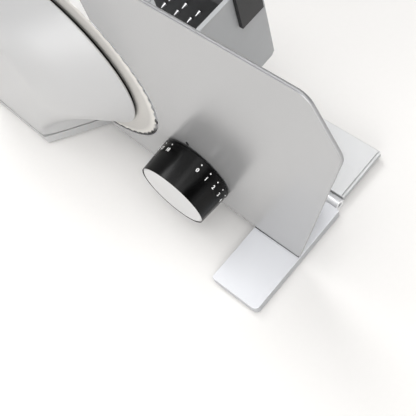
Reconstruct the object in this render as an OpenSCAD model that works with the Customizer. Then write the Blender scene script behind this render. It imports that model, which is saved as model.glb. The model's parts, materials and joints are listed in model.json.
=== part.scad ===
/* [Blade] */
// Blade diameter
blade_d = 170; // [160:1:176]
// Blade axis to the side of the knob axis
blade_side = 109; // [106:1:114]
// Blade axis above the knob axis
blade_up = 58.2; // [54:0.1:64]
// Thickness of the blade's ground rim
blade_rim_t = 1.7; // [1.4:0.1:2]
// Thickness of the blade's web
blade_web_t = 0.9; // [0.7:0.1:1.1]
// Radial width of the blade ring that the housing leaves bare
blade_ring = 15; // [13:0.5:18]
// Number of waves ground into the edge
blade_waves = 60; // [30:1:80]
// Depth of each wave
wave_depth = 0.8; // [0.4:0.1:1.2]
// Radius of the grinding wheel that cuts a wave
wave_r = 6; // [5:0.5:9]
// Blade bore
blade_bore_d = 20; // [18:0.5:24]

/* [Stop plate] */
// Sheet thickness of the stop plate
plate_t = 2.2; // [1.6:0.1:2.6]
// Top edge above the knob axis
plate_top = 172; // [160:1:185]
// Right tip: distance from the knob axis
plate_tip_x = 127.7; // [118:0.1:134]
// Right tip: height above the knob axis
plate_tip_up = 135; // [120:1:145]
// Upper right shoulder: distance from the knob axis
plate_shoulder_x = 111.6; // [100:0.1:118]
// Upper left end: distance left of the knob axis
plate_head_x = 48; // [40:1:56]
// Gap between the blade's edge and the plate's cut-out
blade_gap = 1.6; // [1:0.1:2.5]
// Slit between the plate and the foot it passes over
plate_lift = 0.6; // [0.4:0.1:1.5]

/* [Knob] */
// Knob axis above the table
axis_h = 53.5; // [50:0.5:58]
// Knob diameter at the plate
knob_d = 55; // [50:0.5:62]
// Knob diameter at its face
knob_face_d = 52.4; // [46:0.2:56]
// Knob length with its cap
knob_len = 25.4; // [22:0.2:30]
// Gap between the knob and the plate
knob_gap = 1.1; // [0.6:0.1:1.3]
// Thickness of the cap let into the knob's face
cap_t = 2.1; // [1.5:0.1:3]
// Width of the cap's bevel
cap_bevel = 1.3; // [0.8:0.1:2]
// Width of the knob's lip round the cap
cap_lip = 0.8; // [0.6:0.1:1.5]
// Wall of the knob's barrel
knob_wall = 2.6; // [2:0.1:4]
// Spindle diameter
spindle_d = 10; // [8:0.5:11]

/* [Base] */
// Height of the rubber feet
rubber_h = 2; // [1.5:0.5:4]
// Thickness of the two foot plates
foot_h = 8; // [7:0.5:10]
// Width of the right foot
foot_w = 39.5; // [34:0.5:46]
// Right edge of the right foot, from the knob axis
foot_right = 80.5; // [76:0.5:84]
// Reach of the right foot in front of the plate
foot_front = 46.3; // [42:0.1:52]
// Reach of both feet behind the plate's face
foot_back = 44.2; // [42:0.1:46]
// Corner radius at the front of the right foot
foot_corner_r = 4; // [2:0.5:8]
// Height of the beam's top above the table
beam_top = 66; // [64:0.5:74]
// Wall of the beam
beam_wall = 2.5; // [2:0.1:3]
// Depth of the beam
beam_depth = 38.5; // [36:0.5:38.5]
// Gap between the plate and the beam
beam_gap = 2.8; // [2.8:0.1:4]
// Left end of the beam, left of the knob axis
beam_left = 205; // [195:1:210]
// Right end of the beam, right of the knob axis
beam_right = 58; // [52:1:66]

/* [Motor housing] */
// Left end of the housing, left of the blade axis
housing_left = 112; // [107:1:119]
// Depth of the housing in front of the plate's face
housing_depth = 37.2; // [36.8:0.1:40]
// Gap from the plate's face to the housing's rim
rim_gap = 3.3; // [3:0.1:4]
// Wall of the housing
housing_wall = 2.4; // [2:0.1:2.6]
// Height of the housing's left shoulder above the table
housing_top = 139.5; // [134:0.5:146]
// Radius of the housing's nose
nose_r = 58; // [54:0.5:60]
// Nose axis to the left of the blade axis
nose_back = 31; // [28:0.5:34]
// Nose axis below the blade axis
nose_drop = 8; // [5:0.5:11]
// How much shallower the housing is at its left end
housing_rake = 3.2; // [0:0.1:3.2]
// Ledge of the motor foot round the housing
foot_ledge = 0.8; // [0.4:0.1:2]

/* [Drive] */
// Outer radius of the blade gear
gear_r = 38; // [36:0.5:40]
// Teeth of the blade gear
gear_teeth = 60; // [40:1:72]
// Width of the gear's rim
gear_w = 9.2; // [7:0.1:10]
// Outer radius of the worm
worm_r = 6; // [5:0.1:6.5]
// Length of the worm
worm_len = 20; // [16:1:22]
// Radius of the motor's can
motor_r = 12.5; // [11.5:0.1:12.5]
// Length of the motor's can
motor_len = 60; // [50:1:60]
// Gap from the motor's end cap to the housing's end wall
motor_end_gap = 10.6; // [8:0.1:12]
// Motor shaft diameter
shaft_d = 5; // [4:0.5:6]
// Blade axle diameter
axle_d = 8; // [6:0.5:9]

/* [Switch] */
// Diameter of the trigger button
trigger_d = 18; // [14:0.5:20]
// How far the trigger stands out
trigger_out = 5; // [4.5:0.5:8]
// Travel of the trigger
trigger_travel = 4; // [2:0.5:4]
// Diameter of the lock button
lock_d = 9; // [7:0.5:11]
// Travel of the lock button
lock_travel = 3; // [1.5:0.5:4]
// Bore of the cable gland
gland_bore_d = 7; // [6:0.5:8]

/* [Carriage] */
// Length of the carriage floor
carriage_len = 125; // [115:1:135]
// Left end of the carriage at rest, left of the knob axis
carriage_home = 130; // [124:1:136]
// Thickness of the carriage floor
carriage_t = 2.5; // [2:0.1:4]
// Depth of the carriage floor
carriage_depth = 91; // [80:1:92]
// Height of the thumb guard above the floor
guard_h = 76; // [60:1:90]
// Thickness of the thumb guard
guard_t = 3; // [2.5:0.1:4]
// Width of the rail's head
rail_w = 9; // [8:0.5:12]

/* [Flap] */
// Rear edge of the flap behind the plate's face
flap_back = 97.2; // [97:0.1:105]
// Thickness of the flap
flap_t = 4.5; // [3.5:0.1:5]
// Left end of the flap, left of the blade axis
flap_left = 41; // [31:1:51]
// Right end of the flap, right of the knob axis
flap_right = 77; // [74:0.5:80]
// Hinge barrel diameter
barrel_d = 8.6; // [8:0.1:8.8]
// Length of each hinge barrel
barrel_len = 19; // [14:1:22]
// Hinge pin diameter
pin_d = 4; // [3:0.5:4.5]

/* [Fits] */
// Radial clearance of shafts in their bores
run_clear = 0.05; // [0.02:0.01:0.09]
// Radial clearance of fixed pieces in their seats
seat_clear = 0.02; // [0.01:0.01:0.05]
// Gap between pieces that slide past each other
slide_gap = 0.3; // [0.2:0.05:0.5]

/* [Hidden] */
$fn = 64;
eps = 0.01;
// Heights above the table, with x from the knob axis and y from the plate's front face
foot_top = rubber_h + foot_h;
blade_x = -blade_side;
blade_z = axis_h + blade_up;
housing_x0 = blade_x - housing_left;
flap_x0 = blade_x - flap_left;
blade_r = blade_d / 2;
rim_r = blade_r - blade_ring;
// Cutting plane: the plate stands proud of it by this much when the knob is at rest
closed_proud = 1.8;
edge_y = plate_t - closed_proud;
blade_back_y = edge_y - blade_rim_t;
web_face_y = blade_back_y + blade_web_t;
// Right foot
foot_left = foot_right - foot_w;
// Motor foot: its front, its slanted flank and its right edge
motor_foot_left = 3 - housing_x0;
motor_foot_front = housing_depth + foot_ledge;
flank_slope = 0.722;
flank_x0 = blade_x - 8.4;
function flank_x(y) = flank_x0 + flank_slope * y;
motor_foot_right = flank_x(4.5);
// Beam on the food side
beam_y0 = plate_t + beam_gap;
beam_y1 = beam_y0 + beam_depth;
beam_in_y0 = beam_y0 + beam_wall;
beam_in_y1 = beam_y1 - beam_wall;
boss_r = 5;
boss_h = 22;
screw_r = 2;
screw_head_r = 4;
screw_head_h = 2.4;
boss_inset = beam_wall + boss_r - 1;
base_screw_xs = [-beam_left + boss_inset, motor_foot_right - 8, beam_right - boss_inset];
base_screw_ys = [beam_y0 + boss_inset, beam_y1 - boss_inset];
base_screw_len = 18;
rubber_r = 7;
rubber_spots = [
    [foot_left + 10, -foot_front + 10], [foot_right - 10, foot_back - 22],
    [-motor_foot_left + 12, -motor_foot_front + 15], [-motor_foot_left + 12, foot_back - 12],
    [flank_x(-motor_foot_front) - 12, -motor_foot_front + 12], [motor_foot_right - 24, foot_back - 12]
];
// Spindle, its nut and the plate's guides
spindle_r = spindle_d / 2;
knob_hub_r = spindle_r + 4;
knob_back = knob_gap;
knob_front = knob_gap + knob_len;
knob_hollow_r = knob_face_d / 2 - knob_wall - 2.6;
cap_seat_r = knob_face_d / 2 - cap_lip;
web_front = knob_front - cap_t - 6;
web_t = 2.5;
web_back = web_front - web_t;
spindle_end = beam_in_y1 - 1;
collar_r = spindle_r + 3;
collar_t = beam_gap - 1;
bush_flange_t = 1;
washer_t = 0.8;
hub_back = bush_flange_t + washer_t + 0.2;
nut_len = 18;
nut_half_w = 17;
nut_half_h = 9;
nut_screw_x = collar_r + 5.5;
nut_screw_len = 10;
nut_head_h = 1.4;
guide_r = 4;
guide_bush_r = 6;
guide_z = axis_h - 19.5;
guide_xs = [-48, 34];
guide_len = spindle_end - plate_t;
guide_bush_len = 22;
// Hub, gear and worm
motor_play = 0.3;
drive_y = -(housing_depth - housing_rake - housing_wall - motor_play - motor_r);
mesh_gap = 0.3;
gear_tooth = 2.2;
worm_starts = 2;
worm_lead = worm_starts * 2 * PI * (gear_r - gear_tooth / 2) / gear_teeth;
drive_z = blade_z - gear_r - worm_r - mesh_gap;
gear_y0 = drive_y - gear_w / 2;
gear_y1 = drive_y + gear_w / 2;
hub_r = 17;
lock_stem_r = blade_bore_d / 2 - slide_gap;
lock_stem_bore = lock_stem_r - 2.2;
lock_stem_len = 8;
lock_flange_r = blade_bore_d / 2 + 12;
gear_bush_r = axle_d / 2 + 2;
frame_t = 2.2;
frame_y1 = -rim_gap - 0.5;
frame_y0 = frame_y1 - frame_t;
frame_fit = 0.2;
hub_hole_r = hub_r + 4;
axle_r = axle_d / 2;
clip_t = 0.8;
clip_r = gear_bush_r - 0.3;
thrust_t = 0.6;
bridge_t = 2.5;
bridge_face = gear_y0 - thrust_t - 0.2;
bridge_plate_y1 = bridge_face - 1.4;
post_r = 4;
post_ring = gear_r + post_r + 2;
post_angles = [110, 165, 215];
bridge_screw_r = 1.5;
// Motor
shaft_r = shaft_d / 2;
bush_wall = 2;
bracket_t = 2.5;
can_wall = 1.2;
cap_len = 4;
motor_x0 = housing_x0 + housing_wall + motor_end_gap + cap_len;
motor_x1 = motor_x0 + motor_len;
core_start = 15;
core_end = 8;
holder_r = motor_r - can_wall - 1.2;
shaft_x0 = motor_x0 - cap_len + 0.5;
shaft_x1 = blade_x + worm_len / 2 + 6.5;
block_x0 = blade_x + worm_len / 2 + 1.5;
block_w = 5;
block_half = 5.5;
// Housing corners, all round, in the rim's plane and in the nose's plane
shoulder_r = 14;
sole_r = 3;
heel = [flank_x(-rim_gap) - sole_r, foot_top + sole_r];
toe_back = 25;
toe_up = 19.5;
toe = [blade_x - nose_back - toe_back, foot_top + toe_up];
toe_r = 12;
rim_edge = 1.2;
nose_edge = 2.4;
// The nose's rounding: distance behind its face, and how much smaller it is there
nose_steps = [[0, 6], [0.6, 3.4], [1.8, 1.2], [3.6, 0]];
bulge = 2.5;
pedestal_h = 30;
frame_screw_r = 1.5;
frame_screw_len = 5;
frame_screw_spots = [
    [housing_x0 + 12, foot_top + 14], [housing_x0 + 12, housing_top - 9],
    [blade_x + (rim_r - 16) * cos(20), blade_z + (rim_r - 16) * sin(20)],
    [blade_x + (rim_r - 16) * cos(80), blade_z + (rim_r - 16) * sin(80)]
];
housing_screw_spots = [
    [housing_x0 + 13, -housing_depth + 12], [housing_x0 + 13, -rim_gap - 8],
    [flank_x(-12) - 24, -12]
];
housing_screw_len = 14;
// Switch gear
trigger_z = housing_top - 27.5;
lock_z = trigger_z - trigger_d / 2 - lock_d / 2 - 4.5;
switch_gap = 0.2;
flange_t = 1.8;
flange_rim = 0.9;
switch_x0 = housing_x0 + housing_wall + switch_gap + flange_t + trigger_travel + 1.6;
switch_w = 14;
switch_front = 7;
switch_z0 = lock_z - 8;
switch_z1 = trigger_z + 10;
gland_z = foot_top + 20;
gland_r = gland_bore_d / 2 + 2.5;
gland_flange_t = 2;
board_t = 1.6;
board_lift = 2;
board_x0 = switch_x0 + switch_w + 3;
board_w = blade_x - post_ring - post_r - 5 - board_x0;
board_z0 = switch_z0 + 2;
board_h = 34;
// Carriage and its rail
rail_x0 = -beam_left + 5;
rail_x1 = beam_right - 2;
rail_y = beam_y0 + 19;
rail_web_w = rail_w - 4;
rail_web_h = 2;
rail_head_h = 2.5;
rail_top = beam_top + rail_web_h + rail_head_h;
floor_z0 = rail_top + 1;
floor_z1 = floor_z0 + carriage_t;
carriage_x0 = -carriage_home;
carriage_x1 = carriage_x0 + carriage_len;
carriage_y0 = beam_y0 - slide_gap;
carriage_y1 = carriage_y0 + carriage_depth;
carriage_r = 8;
fence_t = 3;
fence_h = 10;
glide_len = 22;
glide_xs = [carriage_x0 + 8, carriage_x0 + 50];
glide_half = rail_w / 2 + 4.5;
guard_x1 = carriage_x1;
guard_x0 = guard_x1 - guard_t;
guard_y0 = carriage_y0 + 2;
guard_y1 = carriage_y1 - fence_t - 1;
guard_top = floor_z1 + guard_h;
flange_w = 14;
guard_flange_t = 2;
guard_head_h = 1.4;
guard_head_r = 3;
guard_head_gap = 0.5;
guard_screw_inset = 16;
guard_screw_ys = [guard_y0 + guard_screw_inset, guard_y1 - guard_screw_inset];
// Pusher: a saddle over the guard with a spiked press plate
saddle_inset = 4;
saddle_len = 20;
saddle_y1 = guard_y1 - saddle_inset;
saddle_y0 = saddle_y1 - saddle_len;
saddle_wall = 4;
saddle_drop = 26;
press_w = 76;
press_t = 4;
press_z0 = floor_z1 + guard_flange_t + guard_head_h + guard_head_gap;
press_z1 = guard_top - 14;
spike_len = 4;
spike_r = 1.4;
spike_step = 12;
spike_rise = 14;
spike_low = 10;
// Flap and hinge
hinge_r = barrel_d / 2;
hinge_y = foot_back + 0.5 + hinge_r;
hinge_z = foot_top - 0.1 - hinge_r;
flap_y0 = hinge_y + hinge_r + 0.3;
flap_z0 = foot_top - flap_t;
knuckle_len = 22;
knuckle_gap = 0.5;
pin_r = pin_d / 2;
pin_inset = 1;
tang_len = 10;
tang_t = 2.5;
tang_inset = 2;
barrel_xs = [flap_x0, flap_right - barrel_len];
knuckle_xs = [flap_x0 + barrel_len + knuckle_gap, flap_right - barrel_len - knuckle_gap - knuckle_len];
flap_pad_r = 6;
flap_pad_xs = [flap_x0 + 20, flap_right - 16];
flap_pad_y = flap_back - 9;

// Outline with each corner rounded: points run anticlockwise and each has its own radius
function unit(v) = v / norm(v);
function corner(a, p, b, r, n) =
    let (
        u = unit(a - p),
        v = unit(b - p),
        half = acos(u * v) / 2,
        c = p + unit(u + v) * r / sin(half),
        s = p + u * r / tan(half) - c,
        turn = (180 - 2 * half) * sign(cross(p - a, b - p)),
        a0 = atan2(s.y, s.x)
    )
    [for (k = [0:n]) c + r * [cos(a0 + turn * k / n), sin(a0 + turn * k / n)]];
function rounded(pts, radii, n = 8) = [
    for (i = [0:len(pts) - 1])
        let (a = pts[(i + len(pts) - 1) % len(pts)], p = pts[i], b = pts[(i + 1) % len(pts)])
        each radii[i] > 0 ? corner(a, p, b, radii[i], n) : [p]
];
function gear_outline(teeth, r, depth) = [
    for (i = [0:teeth - 1], k = [0:3])
        let (a = 360 / teeth * (i + [-0.32, -0.14, 0.14, 0.32][k]), q = r - [depth, 0, 0, depth][k])
        q * [cos(a), sin(a)]
];

// Stop plate seen from the front: x to the right, z up
plate_pts = [
    [blade_x + 12, axis_h - 33], [-64, axis_h - 38.5], [foot_right, foot_top + plate_lift],
    [plate_tip_x, axis_h + plate_tip_up], [plate_shoulder_x, axis_h + plate_top],
    [-plate_head_x, axis_h + plate_top], [-plate_head_x, blade_z], [blade_x + 12, blade_z]
];
plate_outline = rounded(plate_pts, [1.5, 30, 3, 15, 9, 20, 0, 0]);

// The whole slicer is set down with the middle of its footprint at the origin
x_low = housing_x0 - trigger_out;
x_high = max([for (p = plate_outline) p.x]);
mid_x = (x_low + x_high) / 2;
mid_y = (flap_back - foot_front) / 2;

// Helpers
module set_down() {
    translate([-mid_x, -mid_y, 0]) children();
}

module block(low, high) {
    translate(low) cube(high - low);
}

module rod_y(x, z, y0, y1, r) {
    translate([x, y0, z]) rotate([-90, 0, 0]) cylinder(h = y1 - y0, r = r);
}

module rod_x(y, z, x0, x1, r) {
    translate([x0, y, z]) rotate([0, 90, 0]) cylinder(h = x1 - x0, r = r);
}

module rod_z(x, y, z0, z1, r) {
    translate([x, y, z0]) cylinder(h = z1 - z0, r = r);
}

module tube_y(x, z, y0, y1, r, bore) {
    difference() {
        rod_y(x, z, y0, y1, r);
        rod_y(x, z, y0 - 1, y1 + 1, bore);
    }
}

module tube_x(y, z, x0, x1, r, bore) {
    difference() {
        rod_x(y, z, x0, x1, r);
        rod_x(y, z, x0 - 1, x1 + 1, bore);
    }
}

// Upright sheet drawn as seen from the front, between two distances from the plate's face
module upright(y0, y1) {
    translate([0, y1, 0]) rotate([90, 0, 0]) linear_extrude(y1 - y0) children();
}

// Profile of radius and depth turned about an axis that points to the back
module turned_y(x, z) {
    translate([x, 0, z]) rotate([-90, 0, 0]) rotate_extrude() children();
}

module screw_up(x, y, z, length, r, head_r, head_h) {
    rod_z(x, y, z, z + head_h, head_r);
    rod_z(x, y, z + head_h - eps, z + length, r);
}

// Base
module foot_drillings(xs) {
    for (x = xs, y = base_screw_ys) {
        rod_z(x, y, rubber_h - 1, foot_top + 1, screw_r + slide_gap);
        rod_z(x, y, rubber_h - 1, rubber_h + screw_head_h + 0.6, screw_head_r + slide_gap);
    }
}

module tang(x, grow) {
    block(
        [x + tang_inset - grow, foot_back - tang_len - grow, hinge_z - tang_t / 2 - grow],
        [x + barrel_len - tang_inset + grow, hinge_y - pin_r - 0.8, hinge_z + tang_t / 2 + grow]
    );
}

module right_foot() {
    color("gainsboro") set_down() difference() {
        translate([0, 0, rubber_h]) linear_extrude(foot_h) polygon(rounded(
            [[foot_left, -foot_front], [foot_right, -foot_front], [foot_right, foot_back], [foot_left, foot_back]],
            [foot_corner_r, foot_corner_r, 1, 1]
        ));
        foot_drillings([base_screw_xs[2]]);
        tang(barrel_xs[1], seat_clear);
    }
}

module motor_foot() {
    color("gainsboro") set_down() difference() {
        translate([0, 0, rubber_h]) linear_extrude(foot_h) polygon(rounded(
            [
                [-motor_foot_left, -motor_foot_front + housing_rake],
                [flank_x(-motor_foot_front), -motor_foot_front],
                [motor_foot_right, 4.5], [motor_foot_right, foot_back], [-motor_foot_left, foot_back]
            ],
            [8, 3, 0, 1, 8]
        ));
        foot_drillings([base_screw_xs[0], base_screw_xs[1]]);
        for (p = housing_screw_spots) {
            rod_z(p.x, p.y, rubber_h - 1, foot_top + 1, screw_r + slide_gap);
            rod_z(p.x, p.y, rubber_h - 1, rubber_h + screw_head_h + 0.6, screw_head_r + slide_gap);
        }
        tang(barrel_xs[0], seat_clear);
    }
}

module rubber_feet() {
    color("dimgray") set_down() for (p = rubber_spots) rod_z(p.x, p.y, 0, rubber_h, rubber_r);
}

module base_beam() {
    color("silver") set_down() {
        difference() {
            union() {
                difference() {
                    block([-beam_left, beam_y0, foot_top], [beam_right, beam_y1, beam_top]);
                    block(
                        [-beam_left + beam_wall, beam_in_y0, foot_top - 1],
                        [beam_right - beam_wall, beam_in_y1, beam_top - beam_wall]
                    );
                }
                for (x = base_screw_xs, y = base_screw_ys) rod_z(x, y, foot_top, foot_top + boss_h, boss_r);
            }
            for (x = base_screw_xs, y = base_screw_ys) {
                rod_z(x, y, foot_top - 1, foot_top + boss_h - 4, screw_r + seat_clear);
            }
            rod_y(0, axis_h, beam_y0 - 1, beam_in_y0 + 1, spindle_r + slide_gap);
            for (x = guide_xs) rod_y(x, guide_z, beam_y0 - 1, beam_in_y0 + 1, guide_bush_r + seat_clear);
            for (x = [-nut_screw_x, nut_screw_x]) {
                rod_y(x, axis_h, beam_y0 - 1, beam_in_y0 + 1, screw_r + slide_gap);
            }
        }
    }
}

module bottom_cover() {
    color("dimgray") set_down() block(
        [motor_foot_right + slide_gap, beam_y0, foot_top - 1.5], [foot_left - slide_gap, beam_y1, foot_top]
    );
}

module base_screws() {
    color("darkgray") set_down() for (x = base_screw_xs, y = base_screw_ys) {
        screw_up(x, y, rubber_h + 0.6, base_screw_len, screw_r, screw_head_r, screw_head_h);
    }
}

module carriage_rail() {
    color("silver") set_down() {
        block([rail_x0, rail_y - rail_web_w / 2, beam_top], [rail_x1, rail_y + rail_web_w / 2, rail_top - eps]);
        block(
            [rail_x0, rail_y - rail_w / 2, beam_top + rail_web_h],
            [rail_x1, rail_y + rail_w / 2, rail_top]
        );
    }
}

// Thickness setting
module thread_nut() {
    color("goldenrod") set_down() difference() {
        block(
            [-nut_half_w, beam_in_y0, axis_h - nut_half_h],
            [nut_half_w, beam_in_y0 + nut_len, axis_h + nut_half_h]
        );
        rod_y(0, axis_h, beam_in_y0 - 1, beam_in_y0 + nut_len + 1, spindle_r + run_clear);
        for (x = [-nut_screw_x, nut_screw_x]) {
            rod_y(x, axis_h, beam_in_y0 - 1, beam_y0 + nut_screw_len + 1, screw_r + seat_clear);
        }
    }
}

module nut_screws() {
    color("darkgray") set_down() for (x = [-nut_screw_x, nut_screw_x]) {
        rod_y(x, axis_h, beam_y0 - nut_head_h, beam_y0, screw_head_r - 0.5);
        rod_y(x, axis_h, beam_y0 - eps, beam_y0 + nut_screw_len, screw_r);
    }
}

module guide_bushes() {
    color("peru") set_down() for (x = guide_xs) difference() {
        union() {
            rod_y(x, guide_z, beam_y0, beam_y0 + guide_bush_len, guide_bush_r);
            rod_y(x, guide_z, beam_y0 - 1.2, beam_y0, guide_bush_r + 2);
        }
        rod_y(x, guide_z, beam_y0 - 3, beam_y0 + guide_bush_len + 1, guide_r + run_clear);
    }
}

module stop_plate() {
    color("silver") set_down() difference() {
        upright(0, plate_t) polygon(plate_outline);
        rod_y(blade_x, blade_z, -1, plate_t + 1, blade_r + blade_gap);
        rod_y(0, axis_h, -1, plate_t + 1, collar_r + seat_clear);
    }
}

module guide_rods() {
    color("lightgray") set_down() for (x = guide_xs) rod_y(x, guide_z, plate_t, plate_t + guide_len, guide_r);
}

module spindle_bush() {
    color("peru") set_down() difference() {
        union() {
            rod_y(0, axis_h, -eps, plate_t, collar_r);
            rod_y(0, axis_h, -bush_flange_t, 0, collar_r + 3);
        }
        rod_y(0, axis_h, -bush_flange_t - 1, plate_t + 1, spindle_r + run_clear);
    }
}

module spindle() {
    color("lightgray") set_down() difference() {
        union() {
            rod_y(0, axis_h, -web_back, spindle_end, spindle_r);
            rod_y(0, axis_h, plate_t + slide_gap, plate_t + slide_gap + collar_t, collar_r);
        }
        rod_y(0, axis_h, -web_back - 1, -web_back + 11, screw_r + seat_clear);
    }
}

module wave_washer() {
    color("silver") set_down() tube_y(
        0, axis_h, -hub_back + 0.1, -bush_flange_t - 0.1, knob_hub_r, spindle_r + slide_gap
    );
}

module knob() {
    color([0.05, 0.05, 0.055]) set_down() difference() {
        turned_y(0, axis_h) polygon([
            [0, knob_back], [knob_d / 2, knob_back], [knob_face_d / 2, knob_front - 0.4],
            [knob_face_d / 2 - 0.4, knob_front], [0, knob_front]
        ] * [[1, 0], [0, -1]]);
        difference() {
            rod_y(0, axis_h, -web_back, 0, knob_face_d / 2 - knob_wall);
            rod_y(0, axis_h, -web_back - 1, -hub_back, knob_hub_r);
        }
        rod_y(0, axis_h, -web_back, 1, spindle_r + seat_clear);
        rod_y(0, axis_h, -web_front - 1, -web_back + 1, screw_r + slide_gap);
        rod_y(0, axis_h, -knob_front - 1, -web_front, knob_hollow_r);
        rod_y(0, axis_h, -knob_front - 1, -knob_front + cap_t, cap_seat_r);
    }
}

module knob_screw() {
    color("darkgray") set_down() {
        rod_y(0, axis_h, -web_front - screw_head_h, -web_front, screw_head_r);
        rod_y(0, axis_h, -web_front - eps, -web_back + 9, screw_r);
    }
}

module knob_cap() {
    cap_r = cap_seat_r - seat_clear;
    spigot_r = knob_hollow_r - seat_clear;
    cap_back = knob_front - cap_t;
    color("whitesmoke") set_down() turned_y(0, axis_h) polygon([
        [0, cap_back - 2], [spigot_r, cap_back - 2], [spigot_r, cap_back], [cap_r, cap_back],
        [cap_r, knob_front - 0.6 * cap_bevel], [cap_r - cap_bevel, knob_front], [0, knob_front]
    ] * [[1, 0], [0, -1]]);
}

// Blade and its drive
module blade() {
    bore_r = blade_bore_d / 2;
    color("lightgray") set_down() difference() {
        turned_y(blade_x, blade_z) polygon([
            [bore_r, blade_back_y], [rim_r, blade_back_y], [blade_r, edge_y - 0.15], [blade_r, edge_y],
            [rim_r + 2, edge_y], [rim_r - 3, web_face_y], [bore_r, web_face_y]
        ]);
        for (i = [0:blade_waves - 1]) {
            translate([blade_x, 0, blade_z]) rotate([0, 360 / blade_waves * i, 0])
                rod_y(blade_r + wave_r - wave_depth, 0, blade_back_y - 1, edge_y + 1, wave_r);
        }
    }
}

module blade_gear() {
    color("ivory") set_down() difference() {
        union() {
            translate([blade_x, gear_y1, blade_z]) rotate([90, 0, 0]) linear_extrude(gear_w)
                polygon(gear_outline(gear_teeth, gear_r, gear_tooth));
            rod_y(blade_x, blade_z, gear_y1 - eps, blade_back_y, hub_r);
        }
        tube_y(blade_x, blade_z, gear_y0 - 1, gear_y0 + 3, gear_r - 6, hub_r);
        rod_y(blade_x, blade_z, gear_y0 - 1, blade_back_y + 1, gear_bush_r + seat_clear);
        rod_y(blade_x, blade_z, blade_back_y - lock_stem_len - 1, blade_back_y + 1, lock_stem_r + slide_gap);
    }
}

module gear_bush() {
    color("peru") set_down() tube_y(
        blade_x, blade_z, gear_y0, blade_back_y - lock_stem_len - 1.2, gear_bush_r, axle_r + run_clear
    );
}

module blade_lock() {
    color("dimgray") set_down() difference() {
        union() {
            rod_y(blade_x, blade_z, web_face_y + 0.1, edge_y + 1.8, lock_flange_r);
            rod_y(blade_x, blade_z, blade_back_y - lock_stem_len, web_face_y + 0.2, lock_stem_r);
        }
        rod_y(blade_x, blade_z, blade_back_y - lock_stem_len - 1, web_face_y, lock_stem_bore);
        for (s = [-1, 1]) rod_y(blade_x + s * 13, blade_z, edge_y + 0.5, edge_y + 3, 4.5);
    }
}

module blade_axle() {
    color("lightgray") set_down() rod_y(
        blade_x, blade_z, bridge_plate_y1 - bridge_t, blade_back_y - lock_stem_len + 3, axle_r
    );
}

module axle_clip() {
    clip_y = blade_back_y - lock_stem_len - 1.1;
    color("darkgray") set_down() tube_y(blade_x, blade_z, clip_y, clip_y + clip_t, clip_r, axle_r + seat_clear);
}

module thrust_washer() {
    color("gold") set_down() tube_y(
        blade_x, blade_z, bridge_face, bridge_face + thrust_t, gear_bush_r + 2, axle_r + seat_clear
    );
}

module axle_bridge() {
    color("silver") set_down() difference() {
        union() {
            upright(bridge_plate_y1 - bridge_t, bridge_plate_y1) hull() {
                translate([blade_x, blade_z]) circle(r = 10);
                for (a = post_angles) translate([blade_x, blade_z] + post_ring * [cos(a), sin(a)]) circle(r = 5);
            }
            rod_y(blade_x, blade_z, bridge_plate_y1 - eps, bridge_face, 8);
            for (a = post_angles) rod_y(
                blade_x + post_ring * cos(a), blade_z + post_ring * sin(a), bridge_plate_y1 - eps, frame_y0, post_r
            );
        }
        rod_y(blade_x, blade_z, bridge_plate_y1 - bridge_t - 1, bridge_face + 1, axle_r + seat_clear);
        for (a = post_angles) rod_y(
            blade_x + post_ring * cos(a), blade_z + post_ring * sin(a), frame_y0 - 9, frame_y0 + 1,
            bridge_screw_r + seat_clear
        );
    }
}

module bridge_screws() {
    color("darkgray") set_down() for (a = post_angles) {
        x = blade_x + post_ring * cos(a);
        z = blade_z + post_ring * sin(a);
        rod_y(x, z, frame_y1, frame_y1 + 1, 3);
        rod_y(x, z, frame_y0 - 8, frame_y1 + eps, bridge_screw_r);
    }
}

module gear_frame() {
    color("dimgray") set_down() difference() {
        union() {
            intersection() {
                housing_body(housing_wall + frame_fit, -rim_gap + rim_edge, -housing_depth + housing_wall);
                block([housing_x0, frame_y0, 0], [blade_x + rim_r, frame_y1, blade_z + rim_r]);
            }
            for (x = [board_x0 + 4, board_x0 + board_w - 4], z = [board_z0 + 4, board_z0 + board_h - 4]) {
                rod_y(x, z, frame_y0 - board_lift, frame_y0 + eps, 2.5);
            }
        }
        rod_y(blade_x, blade_z, frame_y0 - 1, frame_y1 + 1, hub_hole_r);
        rod_x(drive_y, drive_z, motor_x0 - cap_len - motor_play, motor_x1, motor_r + motor_play / 2);
        for (a = post_angles) rod_y(
            blade_x + post_ring * cos(a), blade_z + post_ring * sin(a), frame_y0 - 1, frame_y1 + 1,
            bridge_screw_r + slide_gap
        );
        for (p = frame_screw_spots) rod_y(p.x, p[1], frame_y0 - 1, frame_y1 + 1, frame_screw_r + slide_gap);
    }
}

module frame_screws() {
    color("darkgray") set_down() for (p = frame_screw_spots) {
        rod_y(p.x, p[1], frame_y1, frame_y1 + 1, 3);
        rod_y(p.x, p[1], frame_y0 - frame_screw_len + 0.5, frame_y1 + eps, frame_screw_r);
    }
}

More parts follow.
